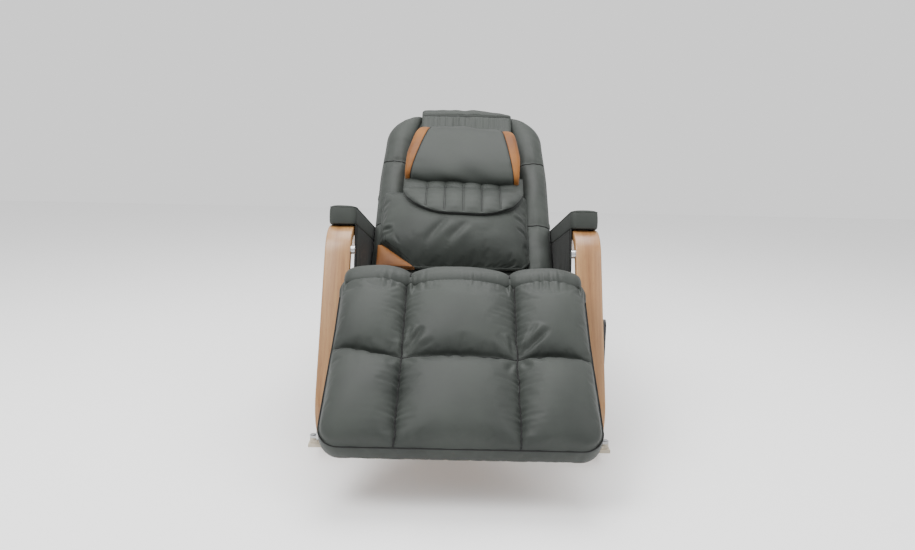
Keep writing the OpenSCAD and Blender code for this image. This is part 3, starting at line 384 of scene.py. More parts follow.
def resample(points, step):
    """Points at equal steps along a polyline, of two or three coordinates each."""
    points = np.array([tuple(p) for p in points])
    along = lengths(points)
    at = np.linspace(0, along[-1], max(2, int(along[-1] / step)))
    return np.stack([np.interp(at, along, column) for column in points.T], -1)


def stitches(name, points, material, pitch=5.0, length=3.2, radius=0.45):
    """A row of short thread stitches along world points, as one mesh."""
    path = resample(points, pitch * MM)
    made_points, made_faces = [], []
    for a, b in zip(path[:-1], path[1:]):
        way = b - a
        way /= np.linalg.norm(way)
        side = np.cross(way, (0.31, 0.42, 0.85))
        side /= np.linalg.norm(side)
        up = np.cross(way, side)
        mid = (a + b) / 2
        start = len(made_points)
        for along, wide in ((-0.5, 0.3), (-0.3, 1), (0.3, 1), (0.5, 0.3)):
            for k in range(5):
                angle = 2 * math.pi * k / 5
                ring = side * math.cos(angle) + up * math.sin(angle)
                made_points.append(mid + way * along * length * MM + ring * wide * radius * MM)
        made_faces += grid_faces(4, 5, start, wrap=True)
        made_faces += [tuple(range(start, start + 5)), tuple(range(start + 15, start + 20))]
    return outward(add_mesh(name, made_points, made_faces, material))


def join(name, pieces):
    """One object from several."""
    with bpy.context.temp_override(active_object=pieces[0], selected_editable_objects=pieces):
        bpy.ops.object.join()
    pieces[0].name = name
    pieces[0].data.name = name
    return pieces[0]


CLOTH_FRAMES = 14
CLOTH = {"quality": 5, "mass": 0.3, "tension_stiffness": 15, "compression_stiffness": 15,
         "shear_stiffness": 5, "bending_stiffness": 0.5, "air_damping": 3, "use_pressure": True,
         "uniform_pressure_force": 3.0, "vertex_group_mass": "held"}


def settle(piece, held, cap, slack):
    """Short cloth simulation of a slack cover: held points stay, the rest move by cap mm at most."""
    before = np.array([v.co for v in piece.data.vertices])
    piece.vertex_groups.new(name="held").add(np.flatnonzero(held).tolist(), 1.0, "REPLACE")
    cloth = piece.modifiers.new("cloth", "CLOTH")
    for key, value in CLOTH.items():
        setattr(cloth.settings, key, value)
    cloth.settings.shrink_min = -slack
    cloth.settings.effector_weights.gravity = 0
    cloth.collision_settings.use_collision = False
    cloth.point_cache.frame_start, cloth.point_cache.frame_end = 1, CLOTH_FRAMES
    for number in range(1, CLOTH_FRAMES + 1):
        bpy.context.scene.frame_set(number)
    apply_modifiers(piece)
    bpy.context.scene.frame_set(1)
    after = np.array([v.co for v in piece.data.vertices])
    size = np.linalg.norm(after - before, axis=1, keepdims=True)
    moved = before + (after - before) * np.minimum(1, cap * MM / np.maximum(size, 1e-9))
    piece.data.vertices.foreach_set("co", moved.ravel())
    piece.data.update()
    return piece


def held_of(piece, seams):
    """Pins for a slab: its seams on top, its outer edge and its whole underside."""
    rows, columns = seams.shape
    held = np.zeros(len(piece.data.vertices), bool)
    held[:rows * columns] = seams.reshape(-1)
    held[edge_of(rows, columns)] = True
    held[rows * columns:2 * rows * columns] = True
    return held


# Materials
def feed(tree, node, **values):
    """Sets a node's inputs and settings; a socket is linked, and an underscore stands for a space."""
    for key, value in values.items():
        name = key.replace("_", " ")
        if name not in node.inputs:
            setattr(node, key, value)
        elif isinstance(value, bpy.types.NodeSocket):
            tree.links.new(value, node.inputs[name])
        else:
            node.inputs[name].default_value = value
    return node


def add_node(tree, kind, **values):
    return feed(tree, tree.nodes.new("ShaderNode" + kind), **values)


def new_material(name, color, roughness, **values):
    material = bpy.data.materials.new(name)
    material.use_nodes = True
    tree = material.node_tree
    shader = feed(tree, tree.nodes["Principled BSDF"], Base_Color=(*color, 1), Roughness=roughness, **values)
    return material, tree, shader


def ramp(tree, source, stops):
    """Colour for the value of a source, blended between stops."""
    node = add_node(tree, "ValToRGB")
    elements = node.color_ramp.elements
    for element, (position, color) in zip(elements, stops):
        element.position = position
        element.color = (*color, 1)
    tree.links.new(source, node.inputs[0])
    return node.outputs["Color"]


def relief(tree, shader, height, strength, depth):
    """Bump on a shader from a height."""
    bump = add_node(tree, "Bump", Strength=strength, Distance=depth, Height=height)
    feed(tree, shader, Normal=bump.outputs["Normal"])


def leather(name, dark, light):
    """Matte grained leatherette: cell bump, slight colour clouds and uneven gloss."""
    material, tree, shader = new_material(name, light, 0.6, Specular_IOR_Level=0.28,
                                          Sheen_Weight=0.03, Sheen_Roughness=0.5)
    where = add_node(tree, "TexCoord").outputs["Object"]
    clouds = add_node(tree, "TexNoise", Vector=where, Scale=9.0, Detail=5.0, Roughness=0.55).outputs["Fac"]
    cells = add_node(tree, "TexVoronoi", Vector=where, Scale=520.0, feature="DISTANCE_TO_EDGE")
    pores = add_node(tree, "TexNoise", Vector=where, Scale=900.0, Detail=2.0)
    gloss = add_node(tree, "MapRange", Value=clouds, From_Min=0.3, From_Max=0.7, To_Min=0.52, To_Max=0.66)
    feed(tree, shader, Base_Color=ramp(tree, clouds, [(0.35, dark), (0.68, light)]),
         Roughness=gloss.outputs["Result"])
    crack = add_node(tree, "Math", operation="MINIMUM", Value=cells.outputs["Distance"])
    crack.inputs[1].default_value = 0.12
    total = add_node(tree, "Math", operation="MULTIPLY_ADD", Value=pores.outputs["Fac"])
    total.inputs[1].default_value = 0.06
    tree.links.new(crack.outputs["Value"], total.inputs[2])
    relief(tree, shader, total.outputs["Value"], 0.35, 0.0006)
    return material


def wood(name, dark, light, coordinate):
    """Beech: long grain, short dark flecks and a clear satin lacquer."""
    material, tree, shader = new_material(name, light, 0.38, Coat_Weight=0.25, Coat_Roughness=0.25)
    where = add_node(tree, "TexCoord").outputs[coordinate]
    grains = []
    for scale, detail in (((1.6, 28, 28), 4.0), ((7, 220, 220), 3.0), ((45, 900, 900), 1.0)):
        mapping = add_node(tree, "Mapping", Vector=where, Scale=scale)
        noise = add_node(tree, "TexNoise", Vector=mapping.outputs["Vector"], Scale=1.0, Detail=detail,
                         Distortion=0.6)
        grains.append(noise.outputs["Fac"])
    result = ramp(tree, grains[0], [(0.3, dark), (0.62, light)])
    fine = ramp(tree, grains[1], [(0.42, (0.80, 0.72, 0.66)), (0.6, (1, 1, 1))])
    fleck = ramp(tree, grains[2], [(0.30, (0.62, 0.48, 0.40)), (0.40, (1, 1, 1))])
    for layer, share in ((fine, 0.6), (fleck, 0.55)):
        mix = add_node(tree, "Mix", data_type="RGBA", blend_type="MULTIPLY", Factor=share, A=result, B=layer)
        result = mix.outputs["Result"]
    feed(tree, shader, Base_Color=result)
    relief(tree, shader, grains[1], 0.08, 0.0004)
    return material


def speckled(name, color, roughness, metallic=0.0, scale=700.0, strength=0.15):
    """Coated or moulded surface with a fine texture and slightly uneven colour."""
    material, tree, shader = new_material(name, color, roughness, Metallic=metallic)
    where = add_node(tree, "TexCoord").outputs["Object"]
    noise = add_node(tree, "TexNoise", Vector=where, Scale=scale, Detail=3.0)
    patches = add_node(tree, "TexNoise", Vector=where, Scale=30.0, Detail=3.0)
    dark, light = [tuple(c * f for c in color) for f in (0.82, 1.08)]
    feed(tree, shader, Base_Color=ramp(tree, patches.outputs["Fac"], [(0.35, dark), (0.7, light)]))
    relief(tree, shader, noise.outputs["Fac"], strength, 0.0003)
    return material


GREY = leather("leatherette_grey", (0.0205, 0.0242, 0.0212), (0.0315, 0.0365, 0.0320))
DARK = leather("leatherette_dark", (0.010, 0.011, 0.010), (0.016, 0.017, 0.015))
TAN = leather("leatherette_tan", (0.115, 0.038, 0.006), (0.215, 0.080, 0.011))
SEAM = speckled("seam_dark", (0.004, 0.004, 0.004), 0.9)
THREAD = speckled("thread", (0.05, 0.053, 0.05), 0.7)
BEECH = wood("beech_bent", (0.225, 0.105, 0.036), (0.345, 0.190, 0.072), "UV")
BOARD = wood("beech_board", (0.42, 0.26, 0.14), (0.62, 0.43, 0.26), "Object")
BLACK = speckled("powder_coat", (0.018, 0.018, 0.02), 0.45)
ZINC = speckled("zinc_plated", (0.50, 0.51, 0.52), 0.3, metallic=1.0, scale=300.0, strength=0.08)
PLASTIC = speckled("black_plastic", (0.020, 0.020, 0.022), 0.5)
NYLON = speckled("pale_nylon", (0.50, 0.45, 0.36), 0.45)
RED = speckled("red_plastic", (0.35, 0.02, 0.015), 0.25)


def declare(piece, body, slot, *nodes):
    """Hides the CAD nodes that a piece stands for and attaches the piece to its body, if it has only one. The
    slot is not used.
    """
    if nodes:
        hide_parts(*nodes)
    if body:
        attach(piece, body)


def dress_cad_nodes():
    """Each CAD node that stays visible gets the material of its slot."""
    finish = {"beech_wood": BEECH, "board_wood": BOARD, "leatherette": GREY, "dark_leatherette": DARK,
              "tan_leatherette": TAN, "black_steel": BLACK, "bright_steel": ZINC, "black_plastic": PLASTIC,
              "pale_plastic": NYLON, "red_plastic": RED}
    for part in frame["record"]["subparts"]:
        mesh = frame["nodes"][part["node"]].data
        mesh.materials.clear()
        mesh.materials.append(finish[part["material_slot"]])


dress_cad_nodes()


# Bent wooden strips
PLANK_W, PLANK_T, EDGE_R = 65, 26, 3.5
ARM_CORNER, ARM_END_Y = (-228, 547), 400
LEAN, FRONT_RISE, REAR_RISE = 25, 2, 18.5
RUNNER_R, CONTACT_Y, RUNNER_END_Y = 1250, 120, 722
TOP_BEND, FOOT_BEND, POST_BEND = 90, 95, 48
POST_TOP_Y, POST_FOOT_Y, POST_FLANGE = 452, 640, 96
REST_GAP = 0.3
STRIP_STEP = 12


def tangent_of(angle):
    return math.tan(math.radians(angle))


def bend(points, radii, count):
    """A polyline with each inner corner rounded to its radius."""
    points = [np.array(p, float) for p in points]
    out = [points[0]]
    for a, b, c, r in zip(points[:-2], points[1:-1], points[2:], radii):
        u, v = (a - b) / np.linalg.norm(a - b), (c - b) / np.linalg.norm(c - b)
        half = math.acos(float(u @ v)) / 2
        middle = b + (u + v) / np.linalg.norm(u + v) * r / math.sin(half)
        p, q = b + u * r / math.tan(half) - middle, b + v * r / math.tan(half) - middle
        first = math.atan2(p[1], p[0])
        sweep = math.atan2(p[0] * q[1] - p[1] * q[0], float(p @ q))
        for i in range(count + 1):
            angle = first + sweep * i / count
            out.append(middle + r * np.array([math.cos(angle), math.sin(angle)]))
    out.append(points[-1])
    return np.array(out)


def frame_paths():
    """Outer lines of the bow and of the rear post, from the source's own sizes."""
    turn_l = RUNNER_R * tangent_of((FRONT_RISE + REAR_RISE) / 2)
    front = math.radians(FRONT_RISE)
    runner = (CONTACT_Y + turn_l * math.cos(front) - RUNNER_R * math.sin(front),
              RUNNER_R * (1 - math.cos(front)) - turn_l * math.sin(front))
    lean, rise = tangent_of(LEAN), tangent_of(FRONT_RISE)
    foot_z = (runner[1] + rise * (runner[0] - ARM_CORNER[0] + ARM_CORNER[1] * lean)) / (1 + rise * lean)
    foot = (ARM_CORNER[0] - (ARM_CORNER[1] - foot_z) * lean, foot_z)

    def arm_z(y):
        return ARM_CORNER[1] - (y - ARM_CORNER[0]) * tangent_of(ARM_SLOPE)

    def rear_z(y):
        return runner[1] + (y - runner[0]) * tangent_of(REAR_RISE)

    bow = bend([(ARM_END_Y, arm_z(ARM_END_Y)), ARM_CORNER, foot, runner,
                (RUNNER_END_Y, rear_z(RUNNER_END_Y))], [TOP_BEND, FOOT_BEND, RUNNER_R], 28)
    below, over = [(PLANK_T + REST_GAP) / math.cos(math.radians(a)) for a in (ARM_SLOPE, REAR_RISE)]
    upper = [(y, arm_z(y) - below) for y in (ARM_END_Y - POST_FLANGE, POST_TOP_Y)]
    lower = [(y, rear_z(y) + over) for y in (POST_FOOT_Y, POST_FOOT_Y - POST_FLANGE)]
    return bow, bend(upper + lower, [POST_BEND, POST_BEND], 16)


def wooden_strip(name, path, side, inward):
    """The strip along a path, with rounded edges and the grain running along it."""
    fine = resample(path, STRIP_STEP)
    ahead = unit(np.gradient(fine, axis=0))
    normal = np.column_stack([-ahead[:, 1], ahead[:, 0]]) * inward
    along = lengths(fine)
    section = []
    wide, thick = PLANK_W - EDGE_R, PLANK_T - EDGE_R
    for cx, cn, start in ((wide, thick, 0), (EDGE_R, thick, 90), (EDGE_R, EDGE_R, 180), (wide, EDGE_R, 270)):
        for k in range(4):
            angle = math.radians(start + k * 30)
            section.append((cx + EDGE_R * math.cos(angle), cn + EDGE_R * math.sin(angle)))
    section = np.array(section)
    around, middle = lengths(section), section.mean(0)
    rings, uv = [], []
    for i, p in enumerate(fine):
        inset = EDGE_R * 0.6 if i in (0, len(fine) - 1) else 0
        shape = middle + (section - middle) * (1 - 2 * inset / np.array([PLANK_W, PLANK_T]))
        at = p + shape[:, 1:2] * normal[i]
        rings.append(np.column_stack([side * (INNER_X + shape[:, 0]), at]) * MM)
        uv += [(along[i] * MM + side, a * MM) for a in around]
    return loft(name, rings, BEECH, uv=uv)


def make_side_frames():
    bow, post = frame_paths()
    for side, word in SIDES:
        declare(wooden_strip(f"bent_bow_{word}", bow, side, 1), "base", "beech_wood", f"side_bow_{word}")
        declare(wooden_strip(f"bent_post_{word}", post, side, -1), "base", "beech_wood", f"rear_post_{word}")


make_side_frames()


# Seams
SEAM_STEP = 4 * MM
DEEP_SEAM, PIPING = 1.7, 1.6


def seam(name, path, radius=0.9, material=SEAM, body="backrest"):
    """A dark seam or piping along world points."""
    piece = tube(name, resample(path, SEAM_STEP), radius, material)
    declare(piece, body, "dark_leatherette")
    return piece


def cushion(piece, node, slot="leatherette", body="backrest"):
    """Declares a finished cushion."""
    declare(piece, body, slot, node)


# Seat
SEAT_LEN, SEAT_REAR, SEAT_RIM = 487, -10, 84
SEAT_BACK_W, LIP_W = 40, 57
SEAT_HALF, NOSE_HALF = 275, 283
SEAT_LOBES, SEAT_ROWS = (0, 0.28, 0.695, 1), (0, 0.40, 0.72, 1.28)
SEAT_TOP_L = 560
SEAT_CROSS = (-200, -345)


def seat_profile():
    """Closed outline (t, w) of the seat: over the top from the rear, round the nose and back below."""
    top = bend([(SEAT_REAR, SEAT_BACK_W), (SEAT_REAR, SEAT_RIM), (-SEAT_LEN, SEAT_RIM), (-SEAT_LEN, LIP_W)],
               [22, 26], 10)
    low = [(-SEAT_LEN, LIP_W), (-478, 52), (-382, 1), (-200, 0.5), (SEAT_REAR - 6, 0.5), (SEAT_REAR, 8),
           (SEAT_REAR, SEAT_BACK_W)]
    return closed_outline(resample(top, 5), resample(low, 14)[1:-1], 1)


def seat_height(x, t, share):
    """How far the seat's top stands out from its profile, in mm."""
    half = seat_half(t)
    u = across_share(x, half)
    lobe = puff(u, SEAT_LOBES, 0.45)
    high = 4 * lobe + 22 * lobe * puff(np.clip(share, 0, 1), SEAT_ROWS, 0.5)
    from_lip = (1 - share) * SEAT_TOP_L
    groups = np.clip(0.25 + 0.9 * ripple(x, 11, 150), 0, 1.3)
    gathers = ripple(x, 3, 15) * groups * lobe
    high = high + 4.6 * gathers * bell((from_lip - 6) / 20) - 3 * bell(from_lip / 8)
    beside = np.exp(-nearest(u, SEAT_LOBES[1:3]) * 2 * half / 26)
    tugs = ripple(t + 0.35 * np.abs(x), 5, 22) * beside * lobe
    return high + 2.0 * tugs + 1.8 * field(x, t, 21, 120) * lobe


def seat_half(t):
    """Half width of the seat cushion, a little more at its nose."""
    return SEAT_HALF + (NOSE_HALF - SEAT_HALF) * smooth(-t, 382, 475)


def make_seat():
    """Seat cushion with its seams; returns the search tree of its surface."""
    points, normal, share = seat_profile()
    way = unit(np.array([-250.0, 42.0]) - points)

    def high(x):
        return np.where(share >= 0, seat_height(x, points[:, 0], share), 0)

    piece = swept("seat_cushion_cover", in_seat, seat_half(points[:, 0]), points, normal, high, way, 16,
                  GREY, 132)
    cushion(subdivide(piece), "seat_cushion", body="base")
    tree = tree_of(piece)
    for share, word in zip(SEAT_LOBES[1:3], ("left", "right")):
        t = np.linspace(-60, -483, 90)
        x = (2 * share - 1) * seat_half(t) + 1.0 * ripple(t, 31, 40)
        seam(f"seat_seam_{word}", drop(tree, in_seat, x, t, 0.8), DEEP_SEAM, body="base")
    for row, t in enumerate(SEAT_CROSS):
        x = np.linspace(-262, 262, 90)
        seam(f"seat_cross_seam_{row}", drop(tree, in_seat, x, t, -0.2), body="base")
    return tree


seat_surface = make_seat()


# Leg rest
LEG_HALF, LEG_FOOT, LEG_KNEE = 285, -412, 1
LEG_TOP, LEG_LOW = 12, -42
LEG_CROSS = -197
LEG_CROWN, LEG_CORNER = 46, 42
LEG_LOBES = (0, 0.268, 0.713, 1)
# Folds (to x, to y, depth, width) that run out from the two corners where the cells meet
LEG_FOLDS = (
    ((44, 64, 13, 9), (20, 76, 9, 7), (74, 26, 5, 8), (-62, 34, 4, 10), (34, -30, 5, 7), (-30, -34, 4, 8)),
    ((72, 58, 12, 8), (44, 74, 6, 7), (-16, 56, 8, 6), (-46, 48, 5, 9), (-26, -50, 8, 7), (26, -40, 7, 8)))
LEG_FLARE = 0.022


def leg_flare(y):
    """How much wider the cushion is towards its foot end."""
    return 1 + LEG_FLARE * smooth(-y, 120, 380)


def leg_height(x, y):
    """Height of the leg cushion's top over its frame, in mm."""
    u = across_share(x, LEG_HALF)
    lobe, row = puff(u, LEG_LOBES, 0.42), puff(y, (LEG_FOOT, LEG_CROSS, LEG_KNEE + 34), 0.40)
    high = LEG_TOP + 8 * smooth(y, -30, LEG_KNEE) + lobe * (2 + LEG_CROWN * row)
    seams_x = [(2 * share - 1) * LEG_HALF for share in LEG_LOBES[1:3]]
    inside = lobe * row
    cross = np.exp(-np.abs(y - LEG_CROSS) / 22)
    high = high + 2.6 * ripple(x, 41, 34) * cross * inside ** 0.5
    beside = np.exp(-nearest(x, seams_x) / 17)
    foot_half = 0.55 + 0.45 * smooth(-y, 190, 260)
    bites = ripple(y + 0.2 * np.abs(x), 43, 26) + 0.8 * ripple(y, 45, 12)
    high = high + 3.8 * bites * beside * foot_half * inside ** 0.5
    for corner_x, folds in zip(seams_x, LEG_FOLDS):
        for dx, dy, depth, width in folds:
            start = (corner_x + 5 * np.sign(dx), LEG_CROSS + 4 * np.sign(dy))
            high = high + crease(x, y, start, (corner_x + dx, LEG_CROSS + dy), depth, width) * inside ** 0.3
    return high + 2.4 * field(x, y, 51, 130) * inside


def leg_warp(x, y):
    """How far the cells' shared edge bows towards the knee, in mm."""
    outer = 20 * (1 - smooth(x, -LEG_HALF, -165)) + 5 * puff(across_share(x, LEG_HALF), LEG_LOBES, 0.8)
    return outer * bell((y - LEG_CROSS) / 95)


def seam_ripple(t, side):
    """Waver of the leg cushion's long seams."""
    return 1.6 * ripple(t, 61 + side, 60) + 0.9 * ripple(t, 64 + side, 15) * smooth(-t, 190, 260)


def make_leg_rest(seat_tree):
    """Leg cushion with its seams; its upper edge lies on the seat's nose."""
    x = np.linspace(-LEG_HALF, LEG_HALF, 150)
    y = np.concatenate([np.linspace(LEG_FOOT, LEG_CROSS, 54), np.linspace(LEG_CROSS, LEG_KNEE, 54)[1:]])
    gx, gy = np.meshgrid(x, y)
    top = leg_height(gx, gy)
    lines = (puff(across_share(gx, LEG_HALF), LEG_LOBES, 1) < 0.05) | (np.abs(gy - LEG_CROSS) < 2.5)
    low = LEG_LOW + (4 - LEG_LOW) * smooth(gy, -36, LEG_KNEE)
    arch = puff(across_share(gx, LEG_HALF), LEG_LOBES, 0.6) * smooth(gy, -45, LEG_KNEE)
    gx, gy = round_corners(gx, gy, LEG_HALF, LEG_FOOT, LEG_KNEE + 2 * LEG_CORNER, LEG_CORNER)
    gx = gx * leg_flare(gy)
    gy, low = gy + 7 * arch + leg_warp(gx, gy), low + 5 * arch
    groups = np.clip(0.2 + 0.9 * ripple(gx[-1], 11, 150), 0.1, 1.2)
    lift = height_on(seat_tree, in_leg, gx[-1], gy[-1], top[-1]) - 1.5 - top[-1]
    lift = lift + 3.2 * ripple(gx[-1], 3, 15) * groups
    top = top + lift * smooth(gy, -60, LEG_KNEE + 9) ** 2
    cover = slab("leg_cushion_cover", in_leg, gx, gy, top, low, GREY, bulged(6))
    settle(cover, held_of(cover, lines), 9, 0.010)
    cushion(subdivide(cover), "leg_cushion", body=None)
    tree = tree_of(cover)
    seams = []
    for side, word in SIDES:
        t = np.linspace(LEG_FOOT - 1, LEG_KNEE - 1, 120)
        across = (2 * LEG_LOBES[(side + 3) // 2] - 1) * LEG_HALF * leg_flare(t)
        path = drop(tree, in_leg, across + seam_ripple(t, side), t, 0.9)
        seams.append(seam(f"leg_seam_{word}", path, DEEP_SEAM, body=None))
    across = np.linspace(-LEG_HALF + 4, LEG_HALF - 4, 120)
    path = drop(tree, in_leg, across, LEG_CROSS + leg_warp(across, LEG_CROSS), 0.3)
    seams.append(seam("leg_cross_seam", path, 1.3, body=None))
    rows, columns = gx.shape
    edge = [r * columns for r in range(rows - 8, 0, -1)] + list(range(columns))
    edge += [r * columns + columns - 1 for r in range(1, rows - 7)]
    ex, ey = gx.reshape(-1)[edge], gy.reshape(-1)[edge]
    away = unit(np.column_stack([np.gradient(ey), -np.gradient(ex)]))
    rim = in_leg(ex + 3.2 * away[:, 0], ey + 3.2 * away[:, 1], LEG_TOP - 3)
    seams.append(seam("leg_rim_seam", rim, 1.5, body=None))
    start, end = [tuple(in_leg(0, LEG_KNEE - back, 15)) for back in (0, 45)]
    for piece in [cover] + seams:
        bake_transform(piece)


make_leg_rest(seat_surface)


# Back
BACK_HALF, BACK_LEN, BACK_DEPTH, BACK_CORNER = 270, 700, 70, 108
WING_S0, WING_TURN = 18, 490
WING_IN, WING_TOP_IN = 186.3, 145
WING_TAPER, WING_OVER = 9, 7
WING_ROWS = (0, 0.273, 0.677, 1)
BACK_BASE = 8.3
PANEL_FRONT, PANEL_REAR, PANEL_HEM = -101, -108, 14


def end_steps(a, b, count):
    """Values from a to b, closer together near both ends."""
    return a + (b - a) * (1 - np.cos(np.linspace(0, np.pi, count))) / 2


def rounding(d, radius):
    """How far an edge draws in at distance d from the end of a corner of this radius."""
    d = np.clip(d, 0, radius)
    return radius - np.sqrt(np.maximum(radius ** 2 - (radius - d) ** 2, 0))


def wing_in(s):
    """Place across of the wing's inner edge."""
    rise = np.clip((s - WING_TURN) / (BACK_LEN - WING_TURN), 0, 1)
    return WING_IN - (WING_IN - WING_TOP_IN) * rise ** 1.6


def wing_out(s):
    """Place across of the wing's outer edge, which draws in towards the top."""
    return BACK_HALF - WING_TAPER * smooth(s, 400, 620) - rounding(BACK_LEN + WING_OVER - s, BACK_CORNER)


def edge_path(x, y, up, place=in_back):
    """World points once round a grid, at the given height over the back or another place."""
    edge = edge_of(*x.shape)
    return place(x.reshape(-1)[edge], y.reshape(-1)[edge], np.broadcast_to(up, x.shape).reshape(-1)[edge])


def make_wing(side, word):
    """Padded wing of the back, in three cells."""
    u, v = np.meshgrid(np.linspace(0, 1, 34), end_steps(0, 1, 110))
    s = WING_S0 + (BACK_LEN + WING_OVER - WING_S0) * v
    wide = wing_out(s) - wing_in(s)
    x = wing_in(s) + wide * u
    lobe, row = swell(u, 0.5), puff(v, WING_ROWS, 0.32)
    top = -9 + lobe * (9 + 19 * row)
    near = np.exp(-nearest(v, WING_ROWS) * BACK_LEN / 24)
    top = top + 2.4 * ripple(x, 71 + side, 30) * near * lobe * row ** 0.5
    top = top + 2.0 * ripple(s, 74 + side, 34) * np.exp(-u * wide / 26) * lobe * row ** 0.3
    top = top + 1.6 * ripple(s + 0.5 * x, 78 + side, 42) * np.exp(-(1 - u) * wide / 20) * lobe
    top = top + 2.2 * field(x, s, 77 + side, 110) * lobe * row
    if side < 0:
        x, s, top = -x[:, ::-1], s[:, ::-1], top[:, ::-1]
    cover = slab(f"back_wing_cover_{word}", in_back, x, s, top, -BACK_DEPTH, GREY, bulged(7))
    cushion(subdivide(cover), f"back_wing_{word}")
    tree = tree_of(cover)
    for number, share in enumerate(WING_ROWS[1:3]):
        at = WING_S0 + (BACK_LEN - WING_S0) * share
        across = np.linspace(wing_in(at) + 1, wing_out(at) - 1, 40) * side
        slant = number * (0.1 * (across * side - wing_in(at)) - 4)
        path = drop(tree, in_back, across, at + slant, 0.9)
        seam(f"wing_seam_{word}_{number}", path, PIPING)
    seam(f"wing_rim_{word}", edge_path(x, s, top - 0.4), PIPING, GREY)
    seam(f"wing_rear_rim_{word}", edge_path(x, s, -BACK_DEPTH), PIPING, GREY)


def make_middle_pad():
    """Pad between the wings."""
    u, v = np.meshgrid(np.linspace(-1, 1, 60), end_steps(0, 1, 90))
    s = WING_S0 + (BACK_LEN - WING_S0) * v
    x = u * (wing_in(s) - 0.6)
    top = -4 + swell((u + 1) / 2, 0.3) * swell(v, 0.4) * (12 + 1.4 * field(x, s, 91, 90))
    pad = slab("back_middle_cover", in_back, x, s, top, -BACK_DEPTH, GREY, bulged(2))
    cushion(pad, "back_middle_pad")


def make_rear_panel():
    """Dark covered panel at the rear of the back."""
    u, v = np.meshgrid(np.linspace(-1, 1, 70), end_steps(0, 1, 110))
    s = WING_S0 + (BACK_LEN - WING_S0) * v
    x = u * wing_out(s)
    crown = swell((u + 1) / 2, 0.35) * swell(v, 0.35)
    low = PANEL_REAR - crown * (5 + 1.3 * field(x, s, 93, 130)) - 0.8 * ripple(x + 0.3 * s, 95, 60) * crown
    panel = slab("rear_panel_cover", in_back, x, s, PANEL_FRONT, low, DARK, bulged(1.5))
    declare(panel, "backrest", "dark_leatherette", "back_rear_panel")
    seam("rear_panel_rim", edge_path(x, s, low), 1.8, DARK)
    middle = (BACK_LEN + WING_S0) / 2
    path = edge_path(x * (1 - PANEL_HEM / BACK_HALF),
                     middle + (s - middle) * (1 - PANEL_HEM / (BACK_LEN / 2)), PANEL_REAR - 3.6)
    piece = stitches("rear_panel_thread", path, THREAD, 6, 4, 0.6)
    declare(piece, "backrest", "dark_leatherette")


# Lumbar cushion, its tan wedge and the apron over it
LUMBAR_X0, LUMBAR_X1, LUMBAR_S0, LUMBAR_S1 = -250, 197, 26, 322
LUMBAR_CUT, LUMBAR_RATE = 104, 1.2
# Folds: from, to, depth, width
LUMBAR_FOLDS = (
    ((-44, 156), (-116, 78), 9, 15), ((14, 140), (-46, 82), 8, 13), ((60, 78), (160, 66), 5, 16),
    ((-248, 152), (-212, 136), 11, 6), ((-248, 126), (-204, 124), 6, 6), ((130, 300), (197, 276), 9, 8),
    ((150, 190), (197, 180), 9, 6), ((160, 150), (197, 142), 8, 6), ((120, 230), (180, 150), 5, 14),
    ((-200, 240), (-110, 262), 3, 16), ((20, 110), (96, 118), 3, 14))


def lumbar_left(s):
    """Place across of the cushion's left edge, slanted below the cut."""
    return LUMBAR_X0 + LUMBAR_RATE * np.maximum(0, LUMBAR_CUT - s)


def lumbar_top(x, s):
    """Height of the lumbar cushion's top over the back."""
    left = lumbar_left(s)
    u = np.clip((x - left) / (LUMBAR_X1 - left), 0, 1)
    v = np.clip((s - LUMBAR_S0) / (LUMBAR_S1 - LUMBAR_S0), 0, 1)
    lobe, row = swell(u, 0.5), swell(v, 0.62)
    high = BACK_BASE + 9 + lobe * (5 + 74 * row)
    high = high - 5 * np.exp(-v / 0.05) * lobe
    soft = (lobe * row) ** 0.5
    for start, end, depth, width in LUMBAR_FOLDS:
        high = high + crease(x, s, start, end, depth, width) * soft
    high = high + 2.4 * ripple(s, 101, 36) * (np.exp(-u * 12) + np.exp(-(1 - u) * 12)) * soft
    high = high + 2.2 * ripple(x, 103, 46) * np.exp(-v * 9) * soft
    return high + 2.6 * field(x, s, 105, 120) * soft


def make_lumbar():
    """Lumbar cushion, slackened by a short cloth simulation."""
    u, v = np.meshgrid(end_steps(0, 1, 110), end_steps(0, 1, 90))
    s = LUMBAR_S0 + (LUMBAR_S1 - LUMBAR_S0) * v
    corner = rounding(s - LUMBAR_S0, 26) + rounding(LUMBAR_S1 - s, 30)
    left = lumbar_left(s) + rounding(LUMBAR_S1 - s, 20) + 0.5 * rounding(s - LUMBAR_S0, 20)
    x = left + (LUMBAR_X1 - corner - left) * u
    top = lumbar_top(x, s)
    cover = slab("lumbar_cushion_cover", in_back, x, s, top, BACK_BASE - 3, GREY, bulged(5))
    settle(cover, held_of(cover, np.zeros(x.shape, bool)), 6, 0.008)
    cushion(subdivide(cover), "lumbar_cushion")
    seam("lumbar_base_rim", edge_path(x, s, BACK_BASE + 0.5), 1.4)
    at = np.linspace(LUMBAR_S0 + 10, LUMBAR_CUT + 22, 40)
    tree = tree_of(cover)
    for number, inset in enumerate((9, 17)):
        path = drop(tree, in_back, lumbar_left(at) + inset, at, -0.1)
        seam(f"lumbar_cut_seam_{number}", path, 0.8)


